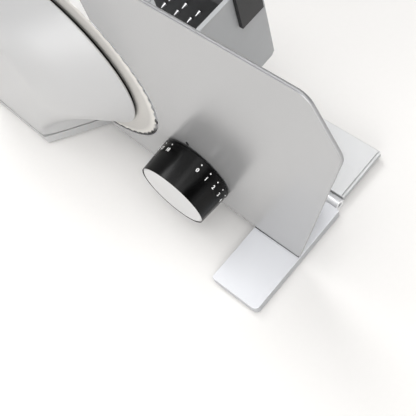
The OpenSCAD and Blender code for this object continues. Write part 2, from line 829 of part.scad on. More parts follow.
// Housing body shrunk by an inset, from its rim to its nose
module housing_body(inset, y_rim, y_nose) {
    shoulder = [housing_x0 + shoulder_r, housing_top - shoulder_r];
    sole = [housing_x0 + sole_r, foot_top + sole_r];
    nose = [blade_x - nose_back, blade_z - nose_drop];
    middle = [blade_x - nose_back / 2 + bulge, blade_z - nose_drop / 2 + 2 * bulge];
    y_end = y_nose + housing_rake;
    y_mid = (y_rim - rim_edge + y_nose) / 2;
    hull() {
        rod_y(blade_x, blade_z, y_rim - eps, y_rim, rim_r - inset - 0.8, $fn = 72);
        rod_y(blade_x, blade_z, y_rim - rim_edge - eps, y_rim - rim_edge, rim_r - inset, $fn = 72);
        rod_y(shoulder.x, shoulder[1], y_end + nose_edge, y_rim, shoulder_r - inset, $fn = 32);
        rod_y(shoulder.x, shoulder[1], y_end, y_rim, shoulder_r - inset - nose_edge, $fn = 32);
        rod_y(sole.x, sole[1], y_end + nose_edge, y_rim, sole_r - inset, $fn = 24);
        rod_y(heel.x, heel[1], y_rim - eps, y_rim, sole_r - inset, $fn = 24);
        rod_y(middle.x, middle[1], y_mid, y_mid + eps, (rim_r + nose_r) / 2 + bulge - inset, $fn = 72);
        for (p = nose_steps) {
            rod_y(nose.x, nose[1], y_nose + p.x, y_nose + p.x + eps, nose_r - p[1] - inset, $fn = 64);
        }
        rod_y(toe.x, toe[1], y_nose + nose_edge, y_nose + nose_edge + eps, toe_r - inset, $fn = 32);
        rod_y(toe.x, toe[1], y_nose, y_nose + eps, toe_r - inset - nose_edge, $fn = 32);
    }
}

module housing_pedestal() {
    low = -housing_depth + 1;
    translate([0, 0, foot_top]) linear_extrude(pedestal_h) polygon([
        [housing_x0 + 1, low + housing_rake], [flank_x(low) - foot_ledge, low],
        [flank_x(-rim_gap - 0.2) - foot_ledge, -rim_gap - 0.2], [housing_x0 + 1, -rim_gap - 0.2]
    ]);
}

module motor_housing() {
    color("silver") set_down() difference() {
        union() {
            difference() {
                union() {
                    housing_body(0, -rim_gap, -housing_depth);
                    housing_pedestal();
                }
                housing_body(housing_wall, -rim_gap + rim_edge, -housing_depth + housing_wall);
            }
            intersection() {
                housing_body(housing_wall / 2, -rim_gap, -housing_depth + housing_wall / 2);
                union() {
                    for (p = frame_screw_spots) rod_y(p.x, p[1], -housing_depth, frame_y0, 4.5);
                    for (p = housing_screw_spots) rod_z(p.x, p.y, foot_top, foot_top + 16, boss_r);
                }
            }
        }
        for (p = frame_screw_spots) {
            rod_y(p.x, p[1], frame_y0 - frame_screw_len, frame_y0 + 1, frame_screw_r + seat_clear);
        }
        for (p = housing_screw_spots) rod_z(p.x, p.y, foot_top - 1, foot_top + 12, screw_r + seat_clear);
        rod_x(drive_y, trigger_z, housing_x0 - 1, housing_x0 + 9, trigger_d / 2 + slide_gap);
        rod_x(drive_y, lock_z, housing_x0 - 1, housing_x0 + 9, lock_d / 2 + slide_gap);
        rod_x(drive_y, gland_z, housing_x0 - 1, housing_x0 + 9, gland_r + seat_clear);
    }
}

module housing_screws() {
    color("darkgray") set_down() for (p = housing_screw_spots) {
        screw_up(p.x, p.y, rubber_h + 0.6, housing_screw_len, screw_r, screw_head_r, screw_head_h);
    }
}

// Motor
module motor_can() {
    color("gray") set_down() difference() {
        rod_x(drive_y, drive_z, motor_x0, motor_x1, motor_r);
        rod_x(drive_y, drive_z, motor_x0 - 1, motor_x1 - can_wall, motor_r - can_wall);
        rod_x(drive_y, drive_z, motor_x0 - 1, motor_x1 + 1, shaft_r + bush_wall + seat_clear);
    }
}

module motor_end_cap() {
    color("black") set_down() difference() {
        union() {
            rod_x(drive_y, drive_z, motor_x0 - cap_len, motor_x0, motor_r);
            for (s = [-1, 1]) block(
                [motor_x0 - eps, drive_y - 3, drive_z + (s > 0 ? 6.5 : -holder_r)],
                [motor_x0 + 8, drive_y + 3, drive_z + (s > 0 ? holder_r : -6.5)]
            );
        }
        rod_x(drive_y, drive_z, motor_x0 - cap_len - 1, motor_x0 + 1, shaft_r + bush_wall + seat_clear);
        block(
            [motor_x0 + 2, drive_y - 1.5, drive_z - motor_r], [motor_x0 + 6, drive_y + 1.5, drive_z + motor_r]
        );
    }
}

module magnets() {
    color("dimgray") set_down() difference() {
        tube_x(
            drive_y, drive_z, motor_x0 + 16, motor_x1 - 6, motor_r - can_wall - seat_clear, motor_r - can_wall - 1.8
        );
        block([motor_x0, drive_y - 4, drive_z - motor_r], [motor_x1, drive_y + 4, drive_z + motor_r]);
    }
}

module armature() {
    core_r = motor_r - can_wall - 1.8 - 0.6;
    color("saddlebrown") set_down() difference() {
        rod_x(drive_y, drive_z, motor_x0 + core_start, motor_x1 - core_end, core_r);
        rod_x(drive_y, drive_z, motor_x0, motor_x1, shaft_r + seat_clear);
        for (a = [0:72:288]) translate([0, drive_y, drive_z]) rotate([a, 0, 0])
            block([motor_x0, -0.8, shaft_r + 2.5], [motor_x1, 0.8, core_r + 1]);
    }
}

module commutator() {
    color("peru") set_down() tube_x(
        drive_y, drive_z, motor_x0 + 1, motor_x0 + 14, shaft_r + 2.2, shaft_r + seat_clear
    );
}

module motor_shaft() {
    color("lightgray") set_down() rod_x(drive_y, drive_z, shaft_x0, shaft_x1, shaft_r);
}

module brushes() {
    color("black") set_down() for (s = [-1, 1]) {
        z0 = shaft_r + 2.2 + run_clear;
        block(
            [motor_x0 + 2.1, drive_y - 1.4, drive_z + (s > 0 ? z0 : -holder_r)],
            [motor_x0 + 5.9, drive_y + 1.4, drive_z + (s > 0 ? holder_r : -z0)]
        );
    }
}

module shaft_bushes() {
    color("goldenrod") set_down() {
        for (x = [motor_x0 - cap_len, motor_x1 - can_wall - 1]) tube_x(
            drive_y, drive_z, x, x + cap_len, shaft_r + bush_wall, shaft_r + run_clear
        );
    }
}

module worm() {
    color("silver") set_down() difference() {
        translate([blade_x - worm_len / 2, drive_y, drive_z]) rotate([0, 90, 0])
            linear_extrude(worm_len, twist = 360 * worm_len / worm_lead, slices = 30) for (a = [0, 180]) rotate(a)
                translate([1.4, 0]) circle(r = worm_r - 1.4, $fn = 8);
        rod_x(drive_y, drive_z, blade_x - worm_len, blade_x + worm_len, shaft_r + seat_clear);
    }
}

module worm_bearing() {
    color("goldenrod") set_down() tube_x(
        drive_y, drive_z, block_x0, block_x0 + block_w, shaft_r + bush_wall, shaft_r + run_clear
    );
}

module bearing_block() {
    color("silver") set_down() difference() {
        block(
            [block_x0, drive_y - block_half, drive_z - block_half], [block_x0 + block_w, frame_y0, drive_z + block_half]
        );
        rod_x(drive_y, drive_z, block_x0 - 1, block_x0 + block_w + 1, shaft_r + bush_wall + seat_clear);
    }
}

module motor_bracket() {
    half = motor_r - 2;
    color("silver") set_down() difference() {
        union() {
            block([motor_x1, drive_y - 10, drive_z - half], [motor_x1 + bracket_t, frame_y0, drive_z + half]);
            block([motor_x1, frame_y0 - 2, drive_z - half], [motor_x1 + 14, frame_y0, drive_z + half]);
        }
        rod_x(drive_y, drive_z, motor_x1 - 1, motor_x1 + bracket_t + 1, shaft_r + bush_wall + 1.5);
    }
}

// Switch gear
module switch_body() {
    color("darkslategray") set_down() block(
        [switch_x0, drive_y - switch_front, switch_z0], [switch_x0 + switch_w, frame_y0, switch_z1]
    );
}

module push_button(z, d, travel, out) {
    wall_in = housing_x0 + housing_wall + switch_gap;
    union() {
        rod_x(drive_y, z, housing_x0 - out, wall_in + eps, d / 2);
        rod_x(drive_y, z, wall_in, wall_in + flange_t, d / 2 + flange_rim);
        rod_x(drive_y, z, wall_in + flange_t - eps, switch_x0 - travel - slide_gap, 2);
    }
}

module trigger_button() {
    color("black") set_down() push_button(trigger_z, trigger_d, trigger_travel, trigger_out);
}

module lock_button() {
    color("firebrick") set_down() push_button(lock_z, lock_d, lock_travel, lock_travel + 0.5);
}

module circuit_board() {
    y1 = frame_y0 - board_lift;
    color("darkgreen") set_down() block(
        [board_x0, y1 - board_t, board_z0], [board_x0 + board_w, y1, board_z0 + board_h]
    );
}

module capacitor() {
    y1 = frame_y0 - board_lift - board_t;
    color("navy") set_down() rod_y(board_x0 + board_w / 2, board_z0 + board_h - 12, y1 - 13, y1, 6);
}

module cable_gland() {
    color("black") set_down() difference() {
        union() {
            rod_x(drive_y, gland_z, housing_x0 - gland_flange_t, housing_x0, gland_r + 3);
            rod_x(drive_y, gland_z, housing_x0 - eps, housing_x0 + 6, gland_r);
        }
        rod_x(drive_y, gland_z, housing_x0 - 5, housing_x0 + 9, gland_bore_d / 2);
    }
}

// Food carriage
module carriage() {
    color("gainsboro") set_down() {
        translate([0, 0, floor_z0]) linear_extrude(carriage_t) polygon(rounded(
            [
                [carriage_x0, carriage_y0], [carriage_x1, carriage_y0],
                [carriage_x1, carriage_y1], [carriage_x0, carriage_y1]
            ],
            [2, 2, carriage_r, carriage_r]
        ));
        block(
            [carriage_x0 + carriage_r, carriage_y1 - fence_t, floor_z1 - eps],
            [carriage_x1 - carriage_r, carriage_y1, floor_z1 + fence_h]
        );
    }
}

module glides() {
    z0 = beam_top + slide_gap;
    head_z = beam_top + rail_web_h - slide_gap;
    color("ivory") set_down() for (x = glide_xs) difference() {
        block([x, rail_y - glide_half, z0], [x + glide_len, rail_y + glide_half, floor_z0]);
        block(
            [x - 1, rail_y - rail_web_w / 2 - slide_gap, z0 - 1],
            [x + glide_len + 1, rail_y + rail_web_w / 2 + slide_gap, head_z + 1]
        );
        block(
            [x - 1, rail_y - rail_w / 2 - slide_gap, head_z],
            [x + glide_len + 1, rail_y + rail_w / 2 + slide_gap, rail_top + slide_gap]
        );
    }
}

module thumb_guard() {
    color("gainsboro") set_down() difference() {
        union() {
            translate([guard_x1, 0, 0]) rotate([90, 0, -90]) linear_extrude(guard_t) polygon(rounded(
                [
                    [-guard_y1, floor_z1], [-guard_y0, floor_z1], [-guard_y0, guard_top], [-guard_y1, guard_top]
                ],
                [0, 0, 10, 10]
            ));
            block(
                [guard_x0 - flange_w, guard_y0 + 4, floor_z1], [guard_x0 + eps, guard_y1 - 4, floor_z1 + guard_flange_t]
            );
        }
        for (y = guard_screw_ys) {
            rod_z(guard_x0 - flange_w / 2, y, floor_z1 - 1, floor_z1 + guard_flange_t + 1, bridge_screw_r + slide_gap);
        }
    }
}

module guard_screws() {
    color("darkgray") set_down() for (y = guard_screw_ys) {
        rod_z(guard_x0 - flange_w / 2, y, floor_z1, floor_z1 + guard_flange_t + eps, bridge_screw_r);
        rod_z(
            guard_x0 - flange_w / 2, y, floor_z1 + guard_flange_t, floor_z1 + guard_flange_t + guard_head_h,
            guard_head_r
        );
    }
}

module pusher() {
    saddle_z0 = guard_top - saddle_drop;
    saddle_z1 = guard_top + slide_gap + saddle_wall;
    saddle_x0 = guard_x0 - slide_gap - saddle_wall;
    color("dimgray") set_down() {
        difference() {
            block(
                [saddle_x0, saddle_y0, saddle_z0],
                [guard_x1 + slide_gap + saddle_wall - 1, saddle_y1, saddle_z1]
            );
            block(
                [guard_x0 - slide_gap, saddle_y0 - 1, saddle_z0 - 1],
                [guard_x1 + slide_gap, saddle_y1 + 1, guard_top + slide_gap]
            );
        }
        upright(saddle_y0, saddle_y0 + press_t) polygon(rounded(
            [
                [saddle_x0 - press_w, press_z0], [saddle_x0 + eps, press_z0],
                [saddle_x0 + eps, press_z1], [saddle_x0 - press_w, press_z1]
            ],
            [6, 0, 0, 10]
        ));
        block(
            [saddle_x0 - press_w + 12, saddle_y0 + press_t - eps, saddle_z0 + 2],
            [saddle_x0 + eps, saddle_y1 - 2, saddle_z0 + 6]
        );
    }
}

module pusher_spikes() {
    x0 = guard_x0 - slide_gap - saddle_wall - press_w;
    color("silver") set_down() for (i = [1:5], k = [0:2]) {
        translate([x0 + spike_step * i, saddle_y0, press_z0 + spike_low + spike_rise * k]) rotate([90, 0, 0])
            cylinder(h = spike_len, r1 = spike_r, r2 = 0.3);
    }
}

// Rear flap and its hinge
module rear_flap() {
    color("whitesmoke") set_down() difference() {
        union() {
            translate([0, 0, flap_z0]) linear_extrude(flap_t) polygon(rounded(
                [[flap_x0, flap_y0], [flap_right, flap_y0], [flap_right, flap_back], [flap_x0, flap_back]],
                [0.8, 0.8, 1.5, 1.5]
            ));
            for (x = knuckle_xs) {
                rod_x(hinge_y, hinge_z, x, x + knuckle_len, hinge_r);
                block([x, hinge_y, flap_z0 + 0.5], [x + knuckle_len, flap_y0 + 1, foot_top - 0.6]);
            }
        }
        for (x = knuckle_xs) rod_x(hinge_y, hinge_z, x - 1, x + knuckle_len + 1, pin_r + run_clear);
    }
}

module hinge_barrels() {
    color("lightgray") set_down() for (x = barrel_xs) difference() {
        union() {
            rod_x(hinge_y, hinge_z, x, x + barrel_len, hinge_r);
            tang(x, 0);
        }
        rod_x(hinge_y, hinge_z, x - 1, x + barrel_len + 1, pin_r + seat_clear);
    }
}

module hinge_pin() {
    color("dimgray") set_down() rod_x(hinge_y, hinge_z, flap_x0 + pin_inset, flap_right - pin_inset, pin_r);
}

module flap_pads() {
    color("dimgray") set_down() for (x = flap_pad_xs) rod_z(x, flap_pad_y, 0, flap_z0, flap_pad_r);
}

right_foot();
motor_foot();
rubber_feet();
base_beam();
bottom_cover();
base_screws();
thread_nut();
nut_screws();
guide_bushes();
carriage_rail();
stop_plate();
guide_rods();
spindle_bush();
spindle();
wave_washer();
knob();
knob_screw();
knob_cap();
blade();
blade_gear();
gear_bush();
blade_lock();
blade_axle();
axle_clip();
thrust_washer();
axle_bridge();
bridge_screws();
gear_frame();
frame_screws();
motor_housing();
housing_screws();
motor_can();
motor_end_cap();
magnets();
armature();
commutator();
motor_shaft();
brushes();
shaft_bushes();
worm();
worm_bearing();
bearing_block();
motor_bracket();
switch_body();
trigger_button();
lock_button();
circuit_board();
capacitor();
cable_gland();
carriage();
glides();
thumb_guard();
guard_screws();
pusher();
pusher_spikes();
rear_flap();
hinge_barrels();
hinge_pin();
flap_pads();
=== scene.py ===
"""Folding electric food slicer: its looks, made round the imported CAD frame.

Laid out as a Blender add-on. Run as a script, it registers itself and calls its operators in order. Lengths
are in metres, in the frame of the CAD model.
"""

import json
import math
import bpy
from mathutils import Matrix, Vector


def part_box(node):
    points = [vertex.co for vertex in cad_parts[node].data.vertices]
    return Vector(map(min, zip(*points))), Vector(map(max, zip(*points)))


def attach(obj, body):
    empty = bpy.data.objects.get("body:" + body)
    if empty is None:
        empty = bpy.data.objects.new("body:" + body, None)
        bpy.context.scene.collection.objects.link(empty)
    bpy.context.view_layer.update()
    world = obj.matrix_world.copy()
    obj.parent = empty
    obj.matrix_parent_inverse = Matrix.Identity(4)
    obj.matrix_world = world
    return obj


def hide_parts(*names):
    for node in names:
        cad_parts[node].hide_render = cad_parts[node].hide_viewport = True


bl_info = {
    "name": "Food slicer looks",
    "version": (1, 0, 0),
    "blender": (4, 5, 0),
    "location": "3D View > Sidebar > Slicer",
    "description": "Fine shapes, materials, stage and camera of the packed food slicer",
    "category": "Object",
}

import bmesh
import bpy
from bpy.props import FloatProperty, FloatVectorProperty, IntProperty, PointerProperty
from mathutils import Matrix, Vector

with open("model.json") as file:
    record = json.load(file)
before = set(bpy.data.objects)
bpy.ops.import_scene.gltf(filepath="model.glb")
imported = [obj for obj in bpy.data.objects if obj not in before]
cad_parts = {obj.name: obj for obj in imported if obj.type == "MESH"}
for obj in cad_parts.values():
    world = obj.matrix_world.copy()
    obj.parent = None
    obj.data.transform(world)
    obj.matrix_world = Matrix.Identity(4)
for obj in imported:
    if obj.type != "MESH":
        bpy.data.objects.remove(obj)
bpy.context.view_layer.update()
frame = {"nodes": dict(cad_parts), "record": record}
NODE_SLOT = {p["node"]: p["material_slot"] for p in frame["record"]["subparts"]}
NODE_BODY = {n: b for b, nodes in frame["record"]["behaviour"]["bodies"].items() for n in nodes}


def middle(node):
    """Middle of a CAD node's box."""
    low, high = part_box(node)
    return (low + high) / 2


KNOB_AXIS = middle("knob")
BLADE_AXIS = middle("blade")
FACE_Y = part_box("stop_plate")[0].y
FOOT_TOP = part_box("motor_foot")[1].z


# Sizes and colours


def length(name, description, default):
    """A length in metres."""
    return FloatProperty(name=name, description=description, default=default, unit="LENGTH", precision=5)


def tint(name, default):
    """A colour, in linear values."""
    text = "Base colour of the " + name.lower()
    return FloatVectorProperty(name=name, description=text, default=default, subtype="COLOR", min=0, max=1)


class SlicerSizes(bpy.types.PropertyGroup):
    """Sizes of the fine shapes that the solids leave out"""

    plate_ease: length("Plate edge", "Width of the stop plate's eased edge", 0.0009)
    foot_ease: length("Foot edge", "Radius along the top of the feet", 0.0006)
    foot_corner: length("Foot corner", "Radius of the right foot's front corner", 0.0014)
    flap_ease: length("Flap edge", "Radius along the rear flap's edges", 0.0004)
    flap_rim: length("Flap rim", "Width of the rim at the flap's ends", 0.0017)
    flap_groove: length("Flap groove", "Width of the groove inside the flap's rim", 0.0006)
    small_ease: length("Small edge", "Radius along the edges of moulded pieces", 0.0006)
    knob_back_r: length("Knob foot radius", "Radius of the knob next to the plate", 0.0275)
    knob_front_r: length("Knob face radius", "Radius of the knob at its face", 0.0262)
    knob_lip: length("Knob lip", "Rounding of the knob's front lip", 0.0003)
    cap_seat_r: length("Cap seat radius", "Radius of the cap's seat", 0.0259)
    cap_bevel: length("Cap bevel", "Width of the cap's bevel", 0.0013)
    digit_height: length("Digit height", "Height of the printed digits", 0.0028)
    digit_place: length("Digit place", "Distance of the digits from the plate", 0.0086)
    dot_place: length("Dot place", "Distance of the dots from the plate", 0.0044)
    dot_r: length("Dot radius", "Radius of the printed dots", 0.0005)
    digit_count: IntProperty(name="Digits", description="Number of marks on the scale", default=19, min=2)
    digit_start: FloatProperty(name="First digit", description="Its angle from the top", default=0.5445)
    digit_step: FloatProperty(name="Digit step", description="Angle to the next mark", default=0.29496)
    mark_width: length("Index width", "Width of the index mark", 0.0015)
    mark_height: length("Index height", "Height of the index mark", 0.0034)
    cover_wall: length("Cover wall", "Wall of the motor cover", 0.0024)
    cover_rim_r: length("Cover rim radius", "Radius of the cover's rim round the blade", 0.070)
    cover_nose_r: length("Cover nose radius", "Radius of the cover at its front", 0.052)
    cover_depth: length("Cover depth", "Depth of the cover before the plate", 0.0372)
    cover_gap: length("Cover gap", "Gap between the plate and the cover's rim", 0.0026)
    # The black ring inside the cover's rim is painted shade of the gap there
    cover_seal_step: length("Seal step", "Distance of the seal inside the cover's rim", 0.0011)
    cover_seam: length("Cover seam", "Gap between the cover and the foot", 0.0006)
    cover_round: length("Cover rounding", "Rounding of the cover's front", 0.014)
    cover_top: length("Cover shoulder", "Height of the cover's left shoulder", 0.1395)
    block_nose: length("Bearing nose", "Rounding of the bearing block's front", 0.0053)
    blade_waves: IntProperty(name="Blade waves", description="Waves of the blade's edge", default=60, min=10)
    wave_r: length("Wave radius", "Radius of a wave of the blade's edge", 0.006)
    wave_depth: length("Wave depth", "Depth of a wave of the blade's edge", 0.0012)
    rib_height: length("Rib height", "Height of the ribs on the carriage's floor", 0.0007)
    rib_step: length("Rib step", "Distance from one rib to the next", 0.0085)


class SlicerColours(bpy.types.PropertyGroup):
    """Base colours, one for each material slot"""

    plate_metal: tint("Plate metal", (0.43, 0.43, 0.432))
    housing_silver: tint("Housing silver", (0.50, 0.50, 0.501))
    foot_silver: tint("Foot silver", (0.81, 0.82, 0.85))
    flap_silver: tint("Flap silver", (0.78, 0.785, 0.79))
    beam_silver: tint("Beam silver", (0.66, 0.66, 0.67))
    blade_steel: tint("Blade steel", (0.62, 0.607, 0.583))
    knob_black: tint("Knob black", (0.002, 0.002, 0.0021))
    cap_silver: tint("Cap silver", (0.67, 0.67, 0.672))
    rubber: tint("Rubber", (0.035, 0.035, 0.038))
    steel: tint("Steel", (0.56, 0.56, 0.57))
    hinge_chrome: tint("Hinge chrome", (0.95, 0.955, 0.97))
    # Near black, so that the hinge pin's end shows the dark spot of its hole: painted shade
    pin_steel: tint("Pin steel", (0.03, 0.03, 0.033))
    bronze: tint("Bronze", (0.55, 0.36, 0.17))
    gear_plastic: tint("Gear plastic", (0.78, 0.75, 0.67))
    frame_metal: tint("Frame metal", (0.50, 0.50, 0.51))
    # Near black; on the gear frame it makes the gap behind the cover's rim read black: partly painted shade
    frame_dark: tint("Frame dark", (0.008, 0.008, 0.009))
    copper: tint("Copper", (0.58, 0.26, 0.13))
    magnet: tint("Magnet", (0.05, 0.05, 0.055))
    black_plastic: tint("Black plastic", (0.018, 0.018, 0.02))
    red_plastic: tint("Red plastic", (0.42, 0.022, 0.018))
    board_green: tint("Board green", (0.02, 0.13, 0.05))
    carriage_grey: tint("Carriage grey", (0.50, 0.51, 0.52))
    print_white: tint("Print white", (0.95, 0.95, 0.94))


# Shaders


class Shade:
    """An output of a shader node. Arithmetic on it adds Math nodes to the same tree."""

    def __init__(self, tree, socket=None):
        self.tree = tree
        self.socket = socket

    def add(self, kind, inputs=(), out=0, **settings):
        """Adds a node of any kind, sets it, fills or links its sockets and gives one output."""
        node = self.tree.nodes.new(kind)
        for key, value in settings.items():
            setattr(node, key, value)
        for key, value in dict(inputs).items():
            if isinstance(value, Shade):
                self.tree.links.new(value.socket, node.inputs[key])
            else:
                node.inputs[key].default_value = value
        return Shade(self.tree, node.outputs[out]) if node.outputs else None

    def math(self, operation, first, second):
        """Adds a Math node."""
        return self.add("ShaderNodeMath", {0: first, 1: second}, operation=operation)

    def __add__(self, other):
        return self.math("ADD", self, other)

    def __sub__(self, other):
        return self.math("SUBTRACT", self, other)

    def __rsub__(self, other):
        return self.math("SUBTRACT", other, self)

    def __mul__(self, other):
        return self.math("MULTIPLY", self, other)

    def __pow__(self, other):
        return self.math("POWER", self, other)

    def __rpow__(self, other):
        return self.math("POWER", other, self)

    __radd__, __rmul__ = __add__, __mul__


def noise(shade, place, scale, detail, stretch=None):
    """Noise between about 0.2 and 0.8, at a scale in features for each metre."""
    if stretch:
        place = shade.add("ShaderNodeMapping", {"Vector": place, "Scale": stretch})
    return shade.add("ShaderNodeTexNoise", {"Vector": place, "Scale": scale, "Detail": detail})


def ramp(shade, value, start, end, first=0.0, last=1.0, **settings):
    """Goes from first to last while a value goes from start to end, and is level outside them."""
    return shade.add("ShaderNodeMapRange", {0: value, 1: start, 2: end, 3: first, 4: last}, **settings)


def between(shade, factor, first, second):
    """Colour between two colours, of which the first may come from another node."""
    if not isinstance(first, Shade):
        first = (*first, 1)
    return shade.add("ShaderNodeMix", {0: factor, 6: first, 7: (*second, 1)}, out=2, data_type="RGBA")


def scaled(colour, share):
    """A darker or brighter colour."""
    return tuple(min(1.0, c * share) for c in colour)


def bumped(shade, height, depth):
    """A normal that follows a height between 0 and 1, with the depth that 1 stands for."""
    return shade.add("ShaderNodeBump", {"Strength": 1.0, "Distance": depth, "Height": height})


def new_material(name):
    """An empty material, its shader tree and the place on the object."""
    material = bpy.data.materials.new(name + "_finish")
    material.use_nodes = True
    material.node_tree.nodes.clear()
    shade = Shade(material.node_tree)
    return material, shade, shade.add("ShaderNodeTexCoord", out="Object")


def surfaced(material, shade, sockets):
    """Ends a material with its surface."""
    surface = shade.add("ShaderNodeBsdfPrincipled", sockets)
    shade.add("ShaderNodeOutputMaterial", {"Surface": surface})
    return material


# Metallic, roughness, broad tone (scale, share), fine grain (scale, roughness), bump (scale, height in
# micrometres), and for some a stretch
FINISHES = {
    "plate_metal": (0.35, 0.24, (14, 0.02), (3800, 0.06), (2400, 4)),
    "housing_silver": (0.10, 0.34, (20, 0.015), (3000, 0.05), (900, 6)),
    "foot_silver": (0.10, 0.40, (30, 0.02), (3000, 0.06), (1500, 12)),
    "flap_silver": (0.10, 0.42, (30, 0.02), (3000, 0.06), (1500, 12)),
    "beam_silver": (0.60, 0.40, (24, 0.02), (3000, 0.05), (1200, 10)),
    "cap_silver": (0.5, 0.34, (60, 0.02), (3400, 0.06), (2600, 6)),
    "rubber": (0.0, 0.75, (120, 0.2), (1800, 0.12), (1400, 40)),
    "steel": (1.0, 0.30, (80, 0.05), (900, 0.10), (1600, 6), (1, 0.08, 1)),
    "hinge_chrome": (0.3, 0.38, (90, 0.03), (700, 0.08), (1200, 4), (0.15, 1, 1)),
    "pin_steel": (1.0, 0.38, (120, 0.08), (900, 0.10), (1600, 8), (0.1, 1, 1)),
    "bronze": (1.0, 0.42, (150, 0.10), (1600, 0.15), (2200, 20)),
    "gear_plastic": (0.0, 0.45, (60, 0.04), (1400, 0.08), (1800, 12)),
    "frame_metal": (1.0, 0.50, (70, 0.06), (1200, 0.12), (1300, 30)),
    "frame_dark": (0.0, 0.70, (70, 0.15), (1200, 0.12), (1300, 30)),
    "copper": (1.0, 0.30, (90, 0.10), (1500, 0.12), (1500, 40), (0.05, 1, 1)),
    "magnet": (0.1, 0.65, (140, 0.15), (1500, 0.12), (1700, 30)),
    "black_plastic": (0.0, 0.48, (90, 0.12), (1700, 0.10), (1500, 30)),
    "red_plastic": (0.0, 0.26, (90, 0.08), (1500, 0.06), (1200, 6)),
    "board_green": (0.0, 0.35, (200, 0.20), (900, 0.10), (800, 10)),
    "carriage_grey": (0.0, 0.50, (60, 0.05), (1700, 0.10), (1400, 30)),
    "print_white": (0.0, 0.45, (400, 0.04), (2500, 0.08), (2500, 4)),
}


# Bare metal of the plate's edge: colour, added roughness
CUT_METAL, CUT_ROUGHER = (0.40, 0.40, 0.41), 0.34
# Painted shade on the sides of foot and flap, below their bright tops: distance below the top, softness,
# share of the brightness
SIDE_SHADE_DROP, SIDE_SHADE_SOFT, SIDE_SHADE_SHARE = 0.0007, 0.0002, 0.55
# Ground band of the blade: radii between which it comes in, brightness
GROUND_FROM, GROUND_TO, GROUND_SHARE = 0.0795, 0.0825, 1.30


def cut_edge(shade):
    """1 on the faces across the plate's thickness, where the paint ends, and 0 on its two faces."""
    normal = shade.add("ShaderNodeTexCoord", out="Normal")
    across = shade.add("ShaderNodeSeparateXYZ", {0: normal}, out="Y") ** 2
    return ramp(shade, across, 0.75, 0.25)


def below(shade, place, level):
    """1 below a height and 0 above it."""
    height = shade.add("ShaderNodeSeparateXYZ", {0: place}, out="Z")
    return ramp(shade, height, level + SIDE_SHADE_SOFT, level - SIDE_SHADE_SOFT)


def finish(slot, colour):
    """A material of the slot's finish: broad tone, fine grain in the roughness and a shallow bump."""
    metallic, rough, tone, grain, bump, *stretch = FINISHES[slot]
    material, shade, place = new_material(slot)
    broad = noise(shade, place, tone[0], 4.0)
    fine = noise(shade, place, grain[0], 2.0, *stretch)
    base = between(shade, broad, scaled(colour, 1 - tone[1]), scaled(colour, 1 + tone[1]))
    roughness = fine * (2 * grain[1]) + (rough - grain[1])
    if slot == "plate_metal":
        bare = cut_edge(shade)
        base = between(shade, bare, base, CUT_METAL)
        metallic = bare * (1 - metallic) + metallic
        roughness = roughness + bare * CUT_ROUGHER
    elif slot in ("foot_silver", "flap_silver"):
        # Painted shade: below the top, the sides of foot and flap are darker than the top
        painted_side_shade = below(shade, place, FOOT_TOP - SIDE_SHADE_DROP)
        base = between(shade, painted_side_shade, base, scaled(colour, SIDE_SHADE_SHARE))
    normal = bumped(shade, noise(shade, place, bump[0], 3.0, *stretch), bump[1] * 1e-6)
    sockets = {"Base Color": base, "Metallic": metallic, "Roughness": roughness, "Normal": normal}
    return surfaced(material, shade, sockets)


def knob_finish(colour):
    """Gloss black moulding with a faint haze, so that its highlight has a soft edge."""
    material, shade, place = new_material("knob_black")
    haze = noise(shade, place, 160, 4.0)
    base = between(shade, haze, scaled(colour, 0.8), scaled(colour, 1.25))
    normal = bumped(shade, noise(shade, place, 2600, 2.0), 4e-6)
    sockets = {
        "Base Color": base, "Roughness": haze * 0.10 + 0.15, "Normal": normal, "Specular IOR Level": 0.17,
    }
    return surfaced(material, shade, sockets)


def blade_finish(colour):
    """Steel turned in fine rings, with a brighter ground band at the edge."""
    material, shade, place = new_material("blade_steel")
    x = shade.add("ShaderNodeSeparateXYZ", {0: place}, out="X") - BLADE_AXIS.x
    z = shade.add("ShaderNodeSeparateXYZ", {0: place}, out="Z") - BLADE_AXIS.z
    radius = (x * x + z * z) ** 0.5
    along = shade.add("ShaderNodeCombineXYZ", {0: radius, 1: 0.0, 2: 0.0})
    rings = noise(shade, along, 5200, 3.0)
    wide = noise(shade, along, 420, 2.0)
    ground = ramp(shade, radius, GROUND_FROM, GROUND_TO)
    plain = between(shade, rings * 0.7 + wide * 0.3, scaled(colour, 0.93), scaled(colour, 1.07))
    sockets = {
        "Base Color": between(shade, ground, plain, scaled(colour, GROUND_SHARE)), "Metallic": 1.0,
        "Roughness": rings * 0.12 + 0.42 - ground * 0.05, "Normal": bumped(shade, rings, 6e-6),
    }
    return surfaced(material, shade, sockets)


# Mesh tools: tolerances of joined points, flat bends, sharp edges and planes
JOIN, FLAT, SHARP, ON = 1e-6, math.radians(0.4), math.radians(40), 2e-5


def linked(name, data):
    """A new object in the scene, of its data or of a bmesh."""
    if isinstance(data, bmesh.types.BMesh):
        bm, data = data, bpy.data.meshes.new(name)
        bm.to_mesh(data)
        bm.free()
    made = bpy.data.objects.new(name, data)
    bpy.context.scene.collection.objects.link(made)
    return made


def make_piece(name, bm, slot, body, replaces=(), smooth=35, even=True):
    """Turns a bmesh into a piece that rides on a body, and may stand for CAD nodes."""
    if not bm.faces:
        raise RuntimeError("no faces in " + name)
    bmesh.ops.recalc_face_normals(bm, faces=bm.faces)
    if bm.calc_volume(signed=True) < 0:
        bmesh.ops.reverse_faces(bm, faces=bm.faces)
    piece = linked(name, bm)
    piece.data.shade_smooth()
    piece.data.set_sharp_from_angle(angle=math.radians(smooth))
    piece.data.materials.append(bpy.data.materials[slot + "_finish"])
    if even:
        piece.modifiers.new("Even normals", "WEIGHTED_NORMAL").keep_sharp = True
    if slot not in NODE_SLOT.values():
        slot = NODE_SLOT[replaces[0]] if replaces else "black_plastic"
    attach(piece, body)
    if replaces:
        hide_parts(*replaces)
    return piece


